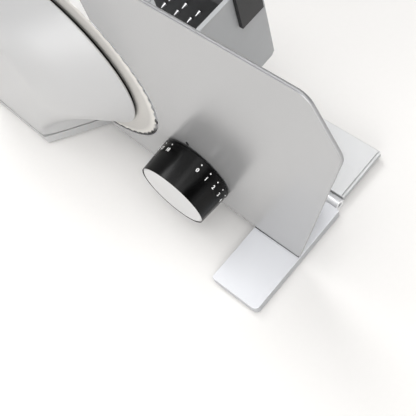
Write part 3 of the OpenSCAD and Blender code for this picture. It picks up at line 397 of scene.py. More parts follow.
def node_mesh(node):
    """A joined bmesh of a CAD node, with its flat faces whole."""
    bm = bmesh.new()
    bm.from_mesh(frame["nodes"][node].data)
    bmesh.ops.remove_doubles(bm, verts=bm.verts, dist=JOIN)
    bmesh.ops.dissolve_limit(bm, angle_limit=FLAT, verts=bm.verts, edges=bm.edges)
    return bm


def bevel(bm, edges, width, segments):
    """Rounds edges."""
    bmesh.ops.bevel(
        bm, geom=edges, offset=width, segments=segments, profile=0.5, affect="EDGES", clamp_overlap=True
    )


def ease(bm, width, segments, pick=None):
    """Rounds a mesh's sharp outer edges, or those of them that are picked."""
    sharp = [
        e for e in bm.edges
        if len(e.link_faces) == 2 and e.calc_face_angle(0) > SHARP and e.is_convex and (not pick or pick(e))
    ]
    bevel(bm, sharp, width, segments)


def eased(node, width, segments, pick=None, bm=None):
    """A copy of a CAD node, or of its changed mesh, with rounded edges. It stands for the node."""
    bm = bm or node_mesh(node)
    ease(bm, width, segments, pick)
    return make_piece(node + "_eased", bm, NODE_SLOT[node], NODE_BODY[node], (node,))


def on_plane(axis, places):
    """Picks edges that lie in planes across one axis."""
    return lambda e: any(all(abs(v.co[axis] - p) < ON for v in e.verts) for p in places)


def rounded(points, radii, steps=6):
    """Closed outline with each corner rounded by its own radius."""
    out = []
    n = len(points)
    for i in range(n):
        a, b, c = Vector(points[i - 1]), Vector(points[i]), Vector(points[(i + 1) % n])
        u, v = (a - b).normalized(), (c - b).normalized()
        turn = math.acos(max(-1, min(1, u.dot(v))))
        if radii[i] <= 0 or turn > math.pi - 1e-4:
            out.append(b)
            continue
        reach = radii[i] / math.tan(turn / 2)
        centre = b + (u + v).normalized() * (radii[i] / math.sin(turn / 2))
        first, last = b + u * reach - centre, b + v * reach - centre
        swing = -first.angle_signed(last)
        out += [centre + Matrix.Rotation(swing * k / steps, 2) @ first for k in range(steps + 1)]
    return out


def close_rings(bm, rings):
    """Faces between closed rings of points, and between the last and the first."""
    for first, second in zip(rings, rings[1:] + rings[:1]):
        for i in range(len(first)):
            bm.faces.new((first[i - 1], first[i], second[i], second[i - 1]))


def turned(profile, axis, around=144):
    """A bmesh of a closed profile of (radius, y), turned round a Y axis."""
    bm = bmesh.new()
    rings = []
    for k in range(around):
        a = 2 * math.pi * k / around
        x, z = math.sin(a), math.cos(a)
        rings.append([bm.verts.new((axis.x + r * x, y, axis.z + r * z)) for r, y in profile])
    close_rings(bm, rings)
    bmesh.ops.remove_doubles(bm, verts=bm.verts, dist=1e-7)
    return bm


def bars(corners, width):
    """A bmesh of blocks with rounded edges, each given by two corners."""
    bm = bmesh.new()
    for low, high in corners:
        spot, size = (Vector(high) + Vector(low)) / 2, Vector(high) - Vector(low)
        place = Matrix.Translation(spot) @ Matrix.Diagonal((*size, 1))
        made = bmesh.ops.create_cube(bm, size=1.0, matrix=place)
        bevel(bm, list(dict.fromkeys(e for v in made["verts"] for e in v.link_edges)), width, 2)
    return bm


def raised(made):
    """The points of what an extrusion made."""
    return [v for v in made["geom"] if isinstance(v, bmesh.types.BMVert)]


# Operators


class SLICER_OT_materials(bpy.types.Operator):
    """Makes the materials and gives each CAD node the one of its slot"""

    bl_idname = "slicer.materials"
    bl_label = "Materials"

    def execute(self, context):
        colours = context.scene.slicer_colours
        for slot in SlicerColours.__annotations__:
            colour = tuple(getattr(colours, slot))
            if slot == "knob_black":
                knob_finish(colour)
            elif slot == "blade_steel":
                blade_finish(colour)
            else:
                finish(slot, colour)
        for name, node in frame["nodes"].items():
            node.data.materials.clear()
            node.data.materials.append(bpy.data.materials[NODE_SLOT[name] + "_finish"])
        return {"FINISHED"}


# Camera: lens, place from the knob's axis, plate's face and floor; its right, up and back
LENS = 66.306
CAMERA_PLACE = (0.24176, -0.12743, 0.48731)
CAMERA_AXES = (
    (0.735361, 0.646021, -0.204699),
    (-0.519671, 0.731438, 0.441520),
    (0.434956, -0.218300, 0.873590),
)


class SLICER_OT_camera(bpy.types.Operator):
    """Sets up the camera at the viewing angle of the picture"""

    bl_idname = "slicer.camera"
    bl_label = "Camera"

    def execute(self, context):
        data = bpy.data.cameras.new("Camera")
        data.sensor_fit = "HORIZONTAL"
        data.sensor_width = 36.0
        data.lens = LENS
        camera = linked("Camera", data)
        place = Vector((KNOB_AXIS.x, FACE_Y, 0.0)) + Vector(CAMERA_PLACE)
        camera.matrix_world = Matrix.Translation(place) @ Matrix(CAMERA_AXES).transposed().to_4x4()
        context.scene.camera = camera
        return {"FINISHED"}


# Floor: half its width, tones of its paper, and its glow, which grows with the distance
FLOOR_HALF = 4.0
PAPER = ((0.86, 0.845, 0.825), (0.88, 0.865, 0.845))
GLOW = (1.0, 0.995, 0.99)
GLOW_FROM, GLOW_TO, GLOW_LEAST = 0.18, 1.3, 0.08
# Surroundings: a white wall, and a dark ceiling from a height of view
WALL, CEILING = (1, 1, 1), (0.05, 0.05, 0.05)
WALL_TOP, CEILING_FROM = 0.12, 0.30
# Lamps, which all face one point: name, place, width, watts
AIM = Vector((0.0, 0.0, 0.06))
LAMPS = (
    ("key", (-0.95, 0.12, 1.60), 1.3, 7.0),
    ("top", (0.10, -0.20, 2.00), 1.8, 17.0),
    ("side", (0.90, -0.30, 1.50), 1.2, 9.0),
    ("fill", (0.60, -1.20, 0.45), 1.2, 10.0),
    ("spark", (-0.75, 0.36, 1.60), 0.6, 5.0),
)


class SLICER_OT_stage(bpy.types.Operator):
    """Lays the pale floor and sets the soft studio light"""

    bl_idname = "slicer.stage"
    bl_label = "Stage"

    def execute(self, context):
        context.scene.view_settings.view_transform = "Standard"
        self.lay_floor()
        self.surround(context.scene)
        for lamp in LAMPS:
            self.hang(*lamp)
        return {"FINISHED"}

    def lay_floor(self):
        """A paper floor that is white at a distance."""
        material, shade, place = new_material("floor_paper")
        direct = shade.add("ShaderNodeLightPath", out="Is Camera Ray")
        seen = direct + shade.add("ShaderNodeLightPath", out="Is Glossy Ray")
        tone = noise(shade, place, 300, 3.0)
        paper = shade.add("ShaderNodeBsdfDiffuse", {"Color": between(shade, tone, *PAPER)})
        reach = shade.add("ShaderNodeVectorMath", {0: place}, out="Value", operation="LENGTH")
        far = ramp(shade, reach, GLOW_FROM, GLOW_TO, GLOW_LEAST, interpolation_type="SMOOTHSTEP")
        glow = shade.add("ShaderNodeEmission", {"Color": between(shade, seen * far, (0, 0, 0), GLOW)})
        surface = shade.add("ShaderNodeAddShader", {0: paper, 1: glow})
        shade.add("ShaderNodeOutputMaterial", {"Surface": surface})
        bm = bmesh.new()
        bmesh.ops.create_grid(bm, x_segments=8, y_segments=8, size=FLOOR_HALF)
        floor = linked("floor", bm)
        floor.data.materials.append(material)

    def surround(self, scene):
        """The wall and the ceiling, as a background."""
        world = bpy.data.worlds.new("studio")
        world.use_nodes = True
        world.node_tree.nodes.clear()
        sky = Shade(world.node_tree)
        way = sky.add("ShaderNodeTexCoord", out="Generated")
        rise = ramp(sky, sky.add("ShaderNodeSeparateXYZ", {0: way}, out="Z"), WALL_TOP, CEILING_FROM)
        room = sky.add("ShaderNodeBackground", {"Color": between(sky, rise, WALL, CEILING)})
        sky.add("ShaderNodeOutputWorld", {"Surface": room})
        scene.world = world

    def hang(self, name, place, size, watts):
        """A round lamp that the camera doesn't see."""
        data = bpy.data.lights.new(name, "AREA")
        data.shape = "DISK"
        data.size = size
        data.energy = watts
        lamp = linked(name, data)
        lamp.location = place
        lamp.visible_camera = False
        lamp.rotation_euler = (Vector(place) - AIM).to_track_quat("Z", "Y").to_euler()


# Index mark: gap above the knob, how far it stands out and is sunk in, rounding
MARK_GAP, MARK_OUT, MARK_SUNK, MARK_ROUND = 0.0016, 0.0006, 0.00005, 0.00004
# Black gliding strip between plate and foot, partly painted shade: its corners from theirs, rounding
GLIDE_SHADE_LOW, GLIDE_SHADE_HIGH = Vector((0.0006, -0.0001, 0.00005)), Vector((-0.0006, -0.0002, 0.0003))
GLIDE_SHADE_ROUND = 0.0001


class SLICER_OT_plate(bpy.types.Operator):
    """Makes the stop plate, its index mark, and under it a black gliding strip that is partly painted shade
    """

    bl_idname = "slicer.plate"
    bl_label = "Stop plate"

    def execute(self, context):
        sizes = context.scene.slicer_sizes
        low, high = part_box("stop_plate")
        eased("stop_plate", sizes.plate_ease, 3, on_plane(1, (low.y, high.y)))
        bottom = KNOB_AXIS.z + sizes.knob_back_r + MARK_GAP
        half = sizes.mark_width / 2
        mark = (
            (KNOB_AXIS.x - half, low.y - MARK_OUT, bottom),
            (KNOB_AXIS.x + half, low.y + MARK_SUNK, bottom + sizes.mark_height),
        )
        make_piece("index_mark", bars([mark], MARK_ROUND), "frame_dark", "stop_plate")
        foot_low, foot_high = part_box("right_foot")
        # Partly painted shade: a black strip in the gap under the plate's bottom
        glide_and_shade = (
            Vector((foot_low.x, low.y, foot_high.z)) + GLIDE_SHADE_LOW,
            Vector((foot_high.x, high.y, low.z)) + GLIDE_SHADE_HIGH,
        )
        make_piece("plate_glide", bars([glide_and_shade], GLIDE_SHADE_ROUND), "black_plastic", "stop_plate")
        return {"FINISHED"}


# Radius of the solid foot's corners
FOOT_CORNER = 0.004


class SLICER_OT_feet(bpy.types.Operator):
    """Makes the two feet, the beam and the rear flap with rounded edges"""

    bl_idname = "slicer.feet"
    bl_label = "Feet and flap"

    def execute(self, context):
        sizes = context.scene.slicer_sizes
        top = on_plane(2, (FOOT_TOP,))
        eased("right_foot", sizes.foot_ease, 4, top, self.tight_corner(sizes))
        under_cover = eased("motor_foot", sizes.small_ease, 4, top)
        under_cover.data.materials[0] = bpy.data.materials["housing_silver_finish"]
        self.flap(sizes)
        eased("base_beam", sizes.small_ease, 3, on_plane(2, (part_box("base_beam")[1].z,)))
        return {"FINISHED"}

    def tight_corner(self, sizes):
        """The right foot's mesh, with its front left corner drawn out to a tighter radius."""
        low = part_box("right_foot")[0]
        bm = node_mesh("right_foot")
        centre = Vector((low.x + FOOT_CORNER, low.y + FOOT_CORNER))
        tight = Vector((low.x + sizes.foot_corner, low.y + sizes.foot_corner))
        for v in bm.verts:
            out = v.co.xy - centre
            if out.x < JOIN and out.y < JOIN and abs(out.length - FOOT_CORNER) < 1.5 * ON:
                v.co.xy = tight + out * (sizes.foot_corner / FOOT_CORNER)
        return bm

    def flap(self, sizes):
        """The rear flap, with a groove along each end between its lid and its rim."""
        low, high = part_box("rear_flap")
        rim, groove = sizes.flap_rim, sizes.flap_groove
        bm = node_mesh("rear_flap")
        ease(bm, sizes.flap_ease, 3, on_plane(2, (high.z,)))

        def top_faces():
            bm.normal_update()
            flat = [f for f in bm.faces if f.normal.z > 0.999]
            return [f for f in flat if f.calc_center_median().z > high.z - ON / 2]

        ys = [v.co.y for f in top_faces() for v in f.verts]
        front, rear = min(ys) + sizes.flap_ease, max(ys) - sizes.flap_ease
        for start in (low.x + rim, high.x - rim - groove):
            for axis, place in ((0, start), (0, start + groove), (1, front), (1, rear)):
                way = Vector((axis == 0, axis == 1, 0))
                top = top_faces()
                bounds = dict.fromkeys(part for f in top for part in (*f.edges, *f.verts))
                bmesh.ops.bisect_plane(
                    bm, geom=top + list(bounds), plane_co=way * place, plane_no=way, dist=1e-7
                )
            band = []
            for f in top_faces():
                spot = f.calc_center_median()
                if start < spot.x < start + groove and front < spot.y < rear:
                    band.append(f)
            sunk = raised(bmesh.ops.extrude_face_region(bm, geom=band))
            if not sunk:
                raise RuntimeError("the flap's groove was not cut")
            bmesh.ops.translate(bm, vec=(0, 0, -2 * groove), verts=sunk)
            bmesh.ops.delete(bm, geom=[f for f in band if f.is_valid], context="FACES_ONLY")
        make_piece("rear_flap_eased", bm, "flap_silver", "flap", ("rear_flap",))


# Knob: radii of its bore, the cap's socket and the skirt's inside; depths of the seat and socket, the web
KNOB_BORE_R, SOCKET_R, SKIRT_R = 0.0026, 0.0210, 0.0236
SEAT_DEPTH, SOCKET_DEPTH, WEB = 0.0021, 0.006, 0.003
# Cap: radius of its stem, play in the seat, height of the bevel
CAP_STEM_R, CAP_PLAY, CAP_BEVEL = 0.0205, 0.00012, 0.0008
# Print on the knob: how far it is sunk in, thickness, corners of a dot, boldness of the digits
PRINT_SUNK, PRINT_THICK, DOT_CORNERS, DIGIT_BOLD = 0.00005, 0.00012, 14, 0.03


class SLICER_OT_knob(bpy.types.Operator):
    """Makes the knob, its cap and the printed scale"""

    bl_idname = "slicer.knob"
    bl_label = "Knob"

    def execute(self, context):
        sizes = context.scene.slicer_sizes
        front, back = (corner.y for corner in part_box("knob"))
        rest = front + SEAT_DEPTH
        web = rest + SOCKET_DEPTH
        seat_r = sizes.cap_seat_r
        profile = rounded(
            [
                (KNOB_BORE_R, web), (SOCKET_R, web), (SOCKET_R, rest), (seat_r, rest), (seat_r, front),
                (sizes.knob_front_r, front), (sizes.knob_back_r, back), (SKIRT_R, back), (SKIRT_R, web + WEB),
                (KNOB_BORE_R, web + WEB),
            ],
            [0, 0, 0, 0, 0.0002, sizes.knob_lip, 0.0005, 0.0003, 0.0003, 0],
        )
        make_piece("knob_barrel", turned(profile, KNOB_AXIS), "knob_black", "knob", ("knob",))

        low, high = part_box("knob_cap")
        edge = seat_r - CAP_PLAY
        profile = rounded(
            [
                (0.0, high.y), (CAP_STEM_R, high.y), (CAP_STEM_R, rest), (edge, rest),
                (edge, low.y + CAP_BEVEL), (edge - sizes.cap_bevel, low.y), (0.0, low.y),
            ],
            [0, 0.0002, 0, 0.0001, 0.0002, 0.0003, 0], 3,
        )
        bm = turned(profile, KNOB_AXIS)
        bmesh.ops.dissolve_degenerate(bm, dist=1e-7, edges=bm.edges)
        make_piece("cap_disc", bm, "cap_silver", "knob", ("knob_cap",))
        self.print_scale(context, sizes, back, front)
        return {"FINISHED"}

    def print_scale(self, context, sizes, back, front):
        """Lays the digits and the dots on the knob's barrel."""
        bm = bmesh.new()
        slope = (sizes.knob_front_r - sizes.knob_back_r) / (back - front)
        gap = FACE_Y - back

        def lay(points, faces, angle, distance):
            made = []
            for u, v in points:
                s = distance - v
                r = sizes.knob_back_r + slope * (s - gap) - PRINT_SUNK
                a = angle + u / r
                x, z = KNOB_AXIS.x + r * math.sin(a), KNOB_AXIS.z + r * math.cos(a)
                made.append(bm.verts.new((x, FACE_Y - s, z)))
            for face in faces:
                bm.faces.new([made[i] for i in face])

        turns = [2 * math.pi * k / DOT_CORNERS for k in range(DOT_CORNERS)]
        dot = [(sizes.dot_r * math.cos(a), sizes.dot_r * math.sin(a)) for a in turns]
        for n in range(sizes.digit_count):
            angle = sizes.digit_start + sizes.digit_step * n
            points, faces = self.digits(context, str(n), sizes.digit_height)
            lay(points, faces, angle, sizes.digit_place)
            lay(dot, [range(DOT_CORNERS)], angle, sizes.dot_place)
        for v in raised(bmesh.ops.extrude_face_region(bm, geom=bm.faces[:])):
            out = Vector((v.co.x - KNOB_AXIS.x, 0, v.co.z - KNOB_AXIS.z))
            v.co += out.normalized() * PRINT_THICK
        make_piece("knob_scale", bm, "print_white", "knob", (), 60, False)

    def digits(self, context, text, height):
        """Flat mesh of a number, centred, of the given height."""
        curve = bpy.data.curves.new("digits", "FONT")
        curve.body = text
        curve.resolution_u = 4
        curve.offset = DIGIT_BOLD
        made = linked("digits", curve)
        mesh = bpy.data.meshes.new_from_object(made.evaluated_get(context.evaluated_depsgraph_get()))
        xs = [v.co.x for v in mesh.vertices]
        ys = [v.co.y for v in mesh.vertices]
        share = height / (max(ys) - min(ys))
        mid_x, mid_y = (max(xs) + min(xs)) / 2, (max(ys) + min(ys)) / 2
        points = [((v.co.x - mid_x) * share, (v.co.y - mid_y) * share) for v in mesh.vertices]
        faces = [tuple(p.vertices) for p in mesh.polygons]
        bpy.data.meshes.remove(mesh)
        bpy.data.objects.remove(made)
        bpy.data.curves.remove(curve)
        return points, faces


# Blade: bore, sheet, radii of the slope on its front, points along a wave
BLADE_BORE_R, SHEET, SLOPE_OUT_R, SLOPE_IN_R, WAVE_POINTS = 0.0101, 0.0009, 0.0720, 0.0670, 12
# Its back: where it starts to lean, as (radius, y); radius and depth where that ends, thickness of the edge
BLADE_BACK = ((0.0660, 0.0), (0.0675, 0.00002), (0.0690, 0.00012))
GRIND_R, GRIND_DEPTH, EDGE_THICK = 0.0820, 0.00036, 0.00014


class SLICER_OT_blade(bpy.types.Operator):
    """Makes the wave-edged blade and the lock at its middle"""

    bl_idname = "slicer.blade"
    bl_label = "Blade"

    def execute(self, context):
        sizes = context.scene.slicer_sizes
        low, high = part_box("blade")
        outer = (high.x - low.x) / 2
        back, edge = low.y, high.y
        face = back + SHEET
        wave = 2 * math.pi / sizes.blade_waves
        reach = outer + sizes.wave_r - sizes.wave_depth
        around = sizes.blade_waves * WAVE_POINTS
        bm = bmesh.new()
        rings = []
        for k in range(around):
            a = 2 * math.pi * k / around
            local = (a + wave / 2) % wave - wave / 2
            under = sizes.wave_r ** 2 - (reach * math.sin(local)) ** 2
            tip = min(outer, reach * math.cos(local) - math.sqrt(max(0.0, under)))
            profile = [
                (BLADE_BORE_R, back), *((r, back + y) for r, y in BLADE_BACK), (GRIND_R, edge - GRIND_DEPTH),
                (tip, edge - EDGE_THICK), (tip, edge), (SLOPE_OUT_R, edge), (SLOPE_IN_R, face),
                (BLADE_BORE_R, face),
            ]
            x, z = math.cos(a), math.sin(a)
            rings.append([bm.verts.new((BLADE_AXIS.x + r * x, y, BLADE_AXIS.z + r * z)) for r, y in profile])
        close_rings(bm, rings)
        make_piece("blade_waved", bm, "blade_steel", "blade", ("blade",), 25)
        eased("blade_lock", sizes.small_ease, 2)
        return {"FINISHED"}


# Arch above the foot where the cover's belly meets its leg: (y from the plate's face, height)
ARCH = ((-0.0033, 0.0026), (-0.0117, 0.0106), (-0.0217, 0.0139), (-0.0308, 0.0105), (-0.0372, 0.0070))


def arch_height(y):
    """Smooth curve through the points of the arch."""
    y = min(max(y, ARCH[-1][0]), ARCH[0][0])
    return sum(height * math.prod((y - b) / (a - b) for b, _ in ARCH if b != a) for a, height in ARCH)


def arc(centre, radius, first, last, count):
    """Points along an arc, with both its ends."""
    turns = [first + (last - first) * k / count for k in range(count + 1)]
    return [centre + radius * Vector((math.cos(a), math.sin(a))) for a in turns]


# Cover's rim: its rounding, as (depth, inset), its depth, the lining's lead there
COVER_RIM = ((0.0, 0.0008), (0.00035, 0.00023), (0.0012, 0.0))
RIM_DEPTH, LINING_LEAD = 0.0012, 0.0004
# What the front's rounding takes from the lining, the shoulder's radius and the flank
LINING_TURN, SHOULDER_TURN, FLANK_TURN = 0.8, 0.006, 0.003
# Belly's shift from rim to front, shoulder's radius, flank's place and slope
BELLY_SHIFT, SHOULDER_R, FLANK_X, FLANK_SLOPE = Vector((-0.028, 0.004)), 0.014, -0.0092, 0.722
# Rake of the front: start from the blade's axis, share of the depth lost at the left end
RAKE_X, RAKE = -0.0361, 0.086
# Reach of the bend between leg and belly at the rim, and what the front adds
BEND_LEAST, BEND_MORE = 0.0016, 0.006
# Middle of the front, from the left end and the floor, and the shares of its loops
FRONT_X, FRONT_Z, FRONT_SHARES = 0.068, 0.078, (0.12, 0.3, 0.5, 0.7, 0.86, 0.95)
# Degrees over which a bend of the cover is sharp
COVER_SHARP = 38
# Black ring of painted shade in the gap behind the cover's rim: depth behind the rim, gap to the blade, width
SHADE_RING_DEPTH, SHADE_RING_GAP, SHADE_RING_WIDE = 0.0003, 0.0002, 0.0015
# Radii of the holes in the left wall; the drill's middle from the wall, its length
HOLES = {"trigger_button": 0.0092, "lock_button": 0.0047, "cable_gland": 0.00605}
DRILL_X, DRILL_LONG = 0.002, 0.012
# Bearing block: step along its outline, play round the bush
BLOCK_STEP, BUSH_PLAY = 0.0012, 0.00002


class SLICER_OT_cover(bpy.types.Operator):
    """Lofts the motor cover: a round belly behind the blade on a slanted leg, with a soft raked front"""

    bl_idname = "slicer.cover"
    bl_label = "Motor cover"

    def execute(self, context):
        sizes = context.scene.slicer_sizes
        self.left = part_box("motor_housing")[0].x
        self.drill(context, self.shell(sizes))
        # Painted shade: a black ring in the gap at the cover's rim
        self.seal(sizes)
        self.bearing(sizes)
        return {"FINISHED"}

    def shell(self, sizes):
        """The cover's skin and lining, joined at the rim."""
        wall, depth, gap, soft = sizes.cover_wall, sizes.cover_depth, sizes.cover_gap, sizes.cover_round
        outer = [(-gap - y, inset, 0.0) for y, inset in COVER_RIM]
        straight = gap + RIM_DEPTH - depth + soft
        outer += [(-gap - RIM_DEPTH + straight * k / 11, 0.0, 0.0) for k in range(1, 11)]
        for k in range(9):
            a = math.pi / 2 * k / 8
            outer.append((-depth + soft - soft * math.sin(a), 0.0, 1 - math.cos(a)))
        inner = [(-gap, wall - LINING_LEAD, 0.0)]
        inner += [(-gap + (gap - depth + soft) * k / 8, wall, 0.0) for k in range(1, 9)]
        for k in range(1, 6):
            a = math.pi / 2 * k / 5
            inner.append((-depth + soft - (soft - wall) * math.sin(a), wall, (1 - math.cos(a)) * LINING_TURN))
        bm = bmesh.new()
        skin = [self.ring(bm, sizes, *station) for station in outer]
        lining = [self.ring(bm, sizes, *station) for station in inner]
        loops = self.front(bm, skin[-1], depth) + skin[::-1] + lining
        loops += self.front(bm, lining[-1], depth - wall)[::-1]
        for first, second in zip(loops[:-1], loops[1:]):
            n = max(len(first), len(second))
            for i in range(n):
                j = (i + 1) % n
                if len(first) == 1:
                    bm.faces.new((first[0], second[j], second[i]))
                elif len(second) == 1:
                    bm.faces.new((first[i], first[j], second[0]))
                else:
                    bm.faces.new((first[i], first[j], second[j], second[i]))
        replaced = ("motor_housing",)
        return make_piece("motor_cover", bm, "housing_silver", "base", replaced, COVER_SHARP, False)

    def seal(self, sizes):
        """A black ring in the gap between the cover's rim and the blade: painted shade of that gap."""
        outside = sizes.cover_rim_r - sizes.cover_seal_step
        inside = outside - SHADE_RING_WIDE
        front, back = FACE_Y - sizes.cover_gap - SHADE_RING_DEPTH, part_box("blade")[0].y - SHADE_RING_GAP
        profile = [(inside, front), (inside, back), (outside, back), (outside, front)]
        make_piece("rim_seal", turned(profile, BLADE_AXIS), "knob_black", "base")

    def bearing(self, sizes):
        """The worm's bearing block with a round nose, so that it stays under the cover."""
        low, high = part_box("bearing_block")
        centre = middle("worm_bearing").yz
        bush_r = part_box("worm_bearing")[1].z - centre.y + BUSH_PLAY
        corners = rounded(
            [(low.y, low.z), (high.y, low.z), (high.y, high.z), (low.y, high.z)],
            [sizes.block_nose, 0, 0, sizes.block_nose], 12,
        )
        outline = []
        for first, last in zip(corners, corners[1:] + corners[:1]):
            count = max(1, round((last - first).length / BLOCK_STEP))
            outline += [first.lerp(last, k / count) for k in range(count)]
        bm = bmesh.new()
        strips = []
        for p in outline:
            q = centre + (p - centre).normalized() * bush_r
            strip = ((low.x, *p), (high.x, *p), (high.x, *q), (low.x, *q))
            strips.append([bm.verts.new(spot) for spot in strip])
        close_rings(bm, strips)
        make_piece("bearing_block_eased", bm, NODE_SLOT["bearing_block"], "base", ("bearing_block",))

    def raked(self, x, y):
        """Depth y at x: the cover is shallower towards its left end."""
        start = BLADE_AXIS.x + RAKE_X
        t = min(1.0, max(0.0, (start - x) / (start - self.left)))
        return FACE_Y + y * (1 - RAKE * t * t * (1.6 - 0.6 * t))

    def ring(self, bm, sizes, y, inset, turn):
        """One closed outline of the cover at a depth, pulled in by an inset and by the front rounding."""
        rim = sizes.cover_gap + RIM_DEPTH
        taper = max(0.0, (-rim - y) / (sizes.cover_depth - rim))
        belly = BLADE_AXIS.xz + BELLY_SHIFT * taper
        belly_r = sizes.cover_rim_r + (sizes.cover_nose_r - sizes.cover_rim_r) * taper
        belly_r -= inset + sizes.cover_round * turn
        shoulder = Vector((self.left + SHOULDER_R, sizes.cover_top - SHOULDER_R))
        shoulder_r = SHOULDER_R - inset - SHOULDER_TURN * turn
        left = shoulder.x - shoulder_r
        base = FOOT_TOP + sizes.cover_seam + (inset if inset > COVER_RIM[0][1] else 0.0)
        flank = BLADE_AXIS.x + FLANK_X + FLANK_SLOPE * y - inset - FLANK_TURN * turn
        crease = Vector((flank, FOOT_TOP + arch_height(y) + inset))
        out = belly - crease
        lean = math.atan2(-out.y, -out.x) + math.acos(min(1.0, belly_r / out.length))
        way = shoulder - belly
        top = math.atan2(way.y, way.x) - math.acos((belly_r - shoulder_r) / way.length)
        round_belly = arc(belly, belly_r, lean, top, 56)
        corner = arc(shoulder, shoulder_r, top, math.pi, 12)
        points = [Vector((left + (flank - left) * k / 16, base)) for k in range(17)]
        points += self.bend(points[-1], crease, round_belly[0], taper)
        points += round_belly
        points += [round_belly[-1].lerp(corner[0], k / 10) for k in range(1, 10)]
        points += corner
        points += [corner[-1].lerp(points[0], k / 12) for k in range(1, 12)]
        return [bm.verts.new((p.x, self.raked(p.x, y), p.y)) for p in points]

    def bend(self, foot, crease, touch, taper):
        """The leg's flank, a hollow bend at the crease and the belly's straight underside."""
        up, away = foot - crease, touch - crease
        reach = min(BEND_LEAST + BEND_MORE * taper, 0.85 * up.length, 0.5 * away.length)
        first, last = crease + up.normalized() * reach, crease + away.normalized() * reach
        points = [foot.lerp(first, k / 5) for k in range(1, 5)]
        for k in range(9):
            t = k / 8
            points.append(first * (1 - t) ** 2 + crease * (2 * t * (1 - t)) + last * t ** 2)
        return points + [last.lerp(touch, k / 8) for k in range(1, 8)]

    def front(self, bm, ring, depth):
        """Loops that close a front, from its middle outwards."""
        centre = Vector((self.left + FRONT_X, FRONT_Z))
        loops = [[bm.verts.new((centre.x, self.raked(centre.x, -depth), centre.y))]]
        for share in FRONT_SHARES:
            spots = [centre.lerp(v.co.xz, share) for v in ring]
            loops.append([bm.verts.new((p.x, self.raked(p.x, -depth), p.y)) for p in spots])
        return loops

    def drill(self, context, piece):
        """Cuts the holes of the buttons and the cable gland through the left wall."""
        bm = bmesh.new()
        across = Matrix.Rotation(math.pi / 2, 4, "Y")
        for node, radius in HOLES.items():
            spot = middle(node)
            place = Matrix.Translation((self.left + DRILL_X, spot.y, spot.z)) @ across
            bmesh.ops.create_cone(
                bm, cap_ends=True, segments=48, radius1=radius, radius2=radius, depth=DRILL_LONG, matrix=place
            )
        cutter = linked("drill", bm)
        mesh = cutter.data
        cut = piece.modifiers.new("Holes", "BOOLEAN")
        cut.operation = "DIFFERENCE"
        cut.solver = "EXACT"
        cut.object = cutter
        done = bpy.data.meshes.new_from_object(piece.evaluated_get(context.evaluated_depsgraph_get()))
        if len(done.polygons) <= len(piece.data.polygons):
            raise RuntimeError("the cover's holes were not cut")
        piece.modifiers.remove(cut)
        piece.data = done
        done.set_sharp_from_angle(angle=math.radians(COVER_SHARP))
        bpy.data.objects.remove(cutter)
        bpy.data.meshes.remove(mesh)


# Ribs on the carriage's floor: its thickness, first and last place; corners from a rib's line, rounding
CARRIAGE_FLOOR, RIB_FIRST, RIB_LAST = 0.0025, 0.010, 0.006
RIB_LOW, RIB_HIGH = Vector((-0.0008, 0.005, -0.0003)), Vector((0.0008, -0.006, 0))
RIB_ROUND = 0.0004
# Grips on the pusher: number, first place, step; corners from a grip's line, rounding
GRIPS, GRIP_FIRST, GRIP_STEP = 5, 0.0030, 0.0034
GRIP_LOW, GRIP_HIGH = Vector((-0.0085, -0.0008, -0.0004)), Vector((0.0018, 0.0008, 0.0009))
GRIP_ROUND = 0.0005


class SLICER_OT_carriage(bpy.types.Operator):
    """Makes the carriage, the thumb guard and the pusher with rounded edges, ribs and grips"""

    bl_idname = "slicer.carriage"
    bl_label = "Carriage and pusher"

    def execute(self, context):
        sizes = context.scene.slicer_sizes
        for node in ("carriage", "thumb_guard", "pusher"):
            eased(node, sizes.small_ease, 2)
        low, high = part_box("carriage")
        floor = low.z + CARRIAGE_FLOOR
        guard_low, guard_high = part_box("thumb_guard")
        ribs = []
        x, top = low.x + RIB_FIRST, floor + sizes.rib_height
        while x < guard_low.x - RIB_LAST:
            ribs.append((Vector((x, low.y, floor)) + RIB_LOW, Vector((x, high.y, top)) + RIB_HIGH))
            x += sizes.rib_step
        make_piece("carriage_ribs", bars(ribs, RIB_ROUND), "carriage_grey", "carriage")
        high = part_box("pusher")[1]
        lines = [Vector((guard_high.x, high.y - GRIP_FIRST - GRIP_STEP * k, high.z)) for k in range(GRIPS)]
        grips = [(line + GRIP_LOW, line + GRIP_HIGH) for line in lines]
        make_piece("pusher_grips", bars(grips, GRIP_ROUND), "black_plastic", "pusher")
        return {"FINISHED"}


# Ridges on the trigger: radius of their field, step, half the width, depth, rounding
RIDGE_R, RIDGE_STEP, RIDGE_HALF, RIDGE_DEPTH, RIDGE_ROUND = 0.0068, 0.0026, 0.0006, 0.0006, 0.0002


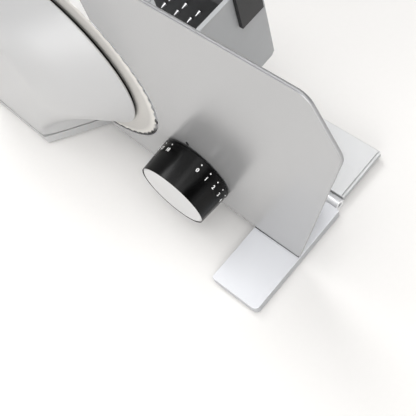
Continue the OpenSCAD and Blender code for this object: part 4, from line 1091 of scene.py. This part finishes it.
class SLICER_OT_buttons(bpy.types.Operator):
    """Makes the trigger, the lock button and the cable gland with rounded edges"""

    bl_idname = "slicer.buttons"
    bl_label = "Buttons"

    def execute(self, context):
        sizes = context.scene.slicer_sizes
        for node in HOLES:
            eased(node, sizes.small_ease, 3, on_plane(0, (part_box(node)[0].x,)))
        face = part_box("trigger_button")[0].x
        spot = middle("trigger_button")
        ridges = []
        for k in range(-2, 3):
            z = spot.z + RIDGE_STEP * k
            half = math.sqrt(RIDGE_R ** 2 - (RIDGE_STEP * k) ** 2)
            low, high = (spot.y - half, z - RIDGE_HALF), (spot.y + half, z + RIDGE_HALF)
            ridges.append(((face, *low), (face + RIDGE_DEPTH, *high)))
        make_piece("trigger_grips", bars(ridges, RIDGE_ROUND), "black_plastic", "trigger")
        return {"FINISHED"}


class SLICER_PT_panel(bpy.types.Panel):
    """Lists the steps, the sizes and the colours"""

    bl_idname = "SLICER_PT_panel"
    bl_label = "Food slicer"
    bl_space_type = "VIEW_3D"
    bl_region_type = "UI"
    bl_category = "Slicer"

    def draw(self, context):
        for step in STEPS:
            self.layout.operator(step.bl_idname)
        for group in (context.scene.slicer_sizes, context.scene.slicer_colours):
            box = self.layout.box()
            for key in group.__annotations__:
                box.prop(group, key)


STEPS = (
    SLICER_OT_materials, SLICER_OT_camera, SLICER_OT_stage, SLICER_OT_plate, SLICER_OT_feet, SLICER_OT_knob,
    SLICER_OT_blade, SLICER_OT_cover, SLICER_OT_carriage, SLICER_OT_buttons,
)
CLASSES = (SlicerSizes, SlicerColours, *STEPS, SLICER_PT_panel)


def register():
    for item in CLASSES:
        bpy.utils.register_class(item)
    bpy.types.Scene.slicer_sizes = PointerProperty(type=SlicerSizes)
    bpy.types.Scene.slicer_colours = PointerProperty(type=SlicerColours)


def unregister():
    del bpy.types.Scene.slicer_colours
    del bpy.types.Scene.slicer_sizes
    for item in reversed(CLASSES):
        bpy.utils.unregister_class(item)


def main():
    register()
    bpy.ops.slicer.materials()
    bpy.ops.slicer.camera()
    bpy.ops.slicer.stage()
    bpy.ops.slicer.plate()
    bpy.ops.slicer.feet()
    bpy.ops.slicer.knob()
    bpy.ops.slicer.blade()
    bpy.ops.slicer.cover()
    bpy.ops.slicer.carriage()
    bpy.ops.slicer.buttons()


if __name__ == "__main__":
    main()
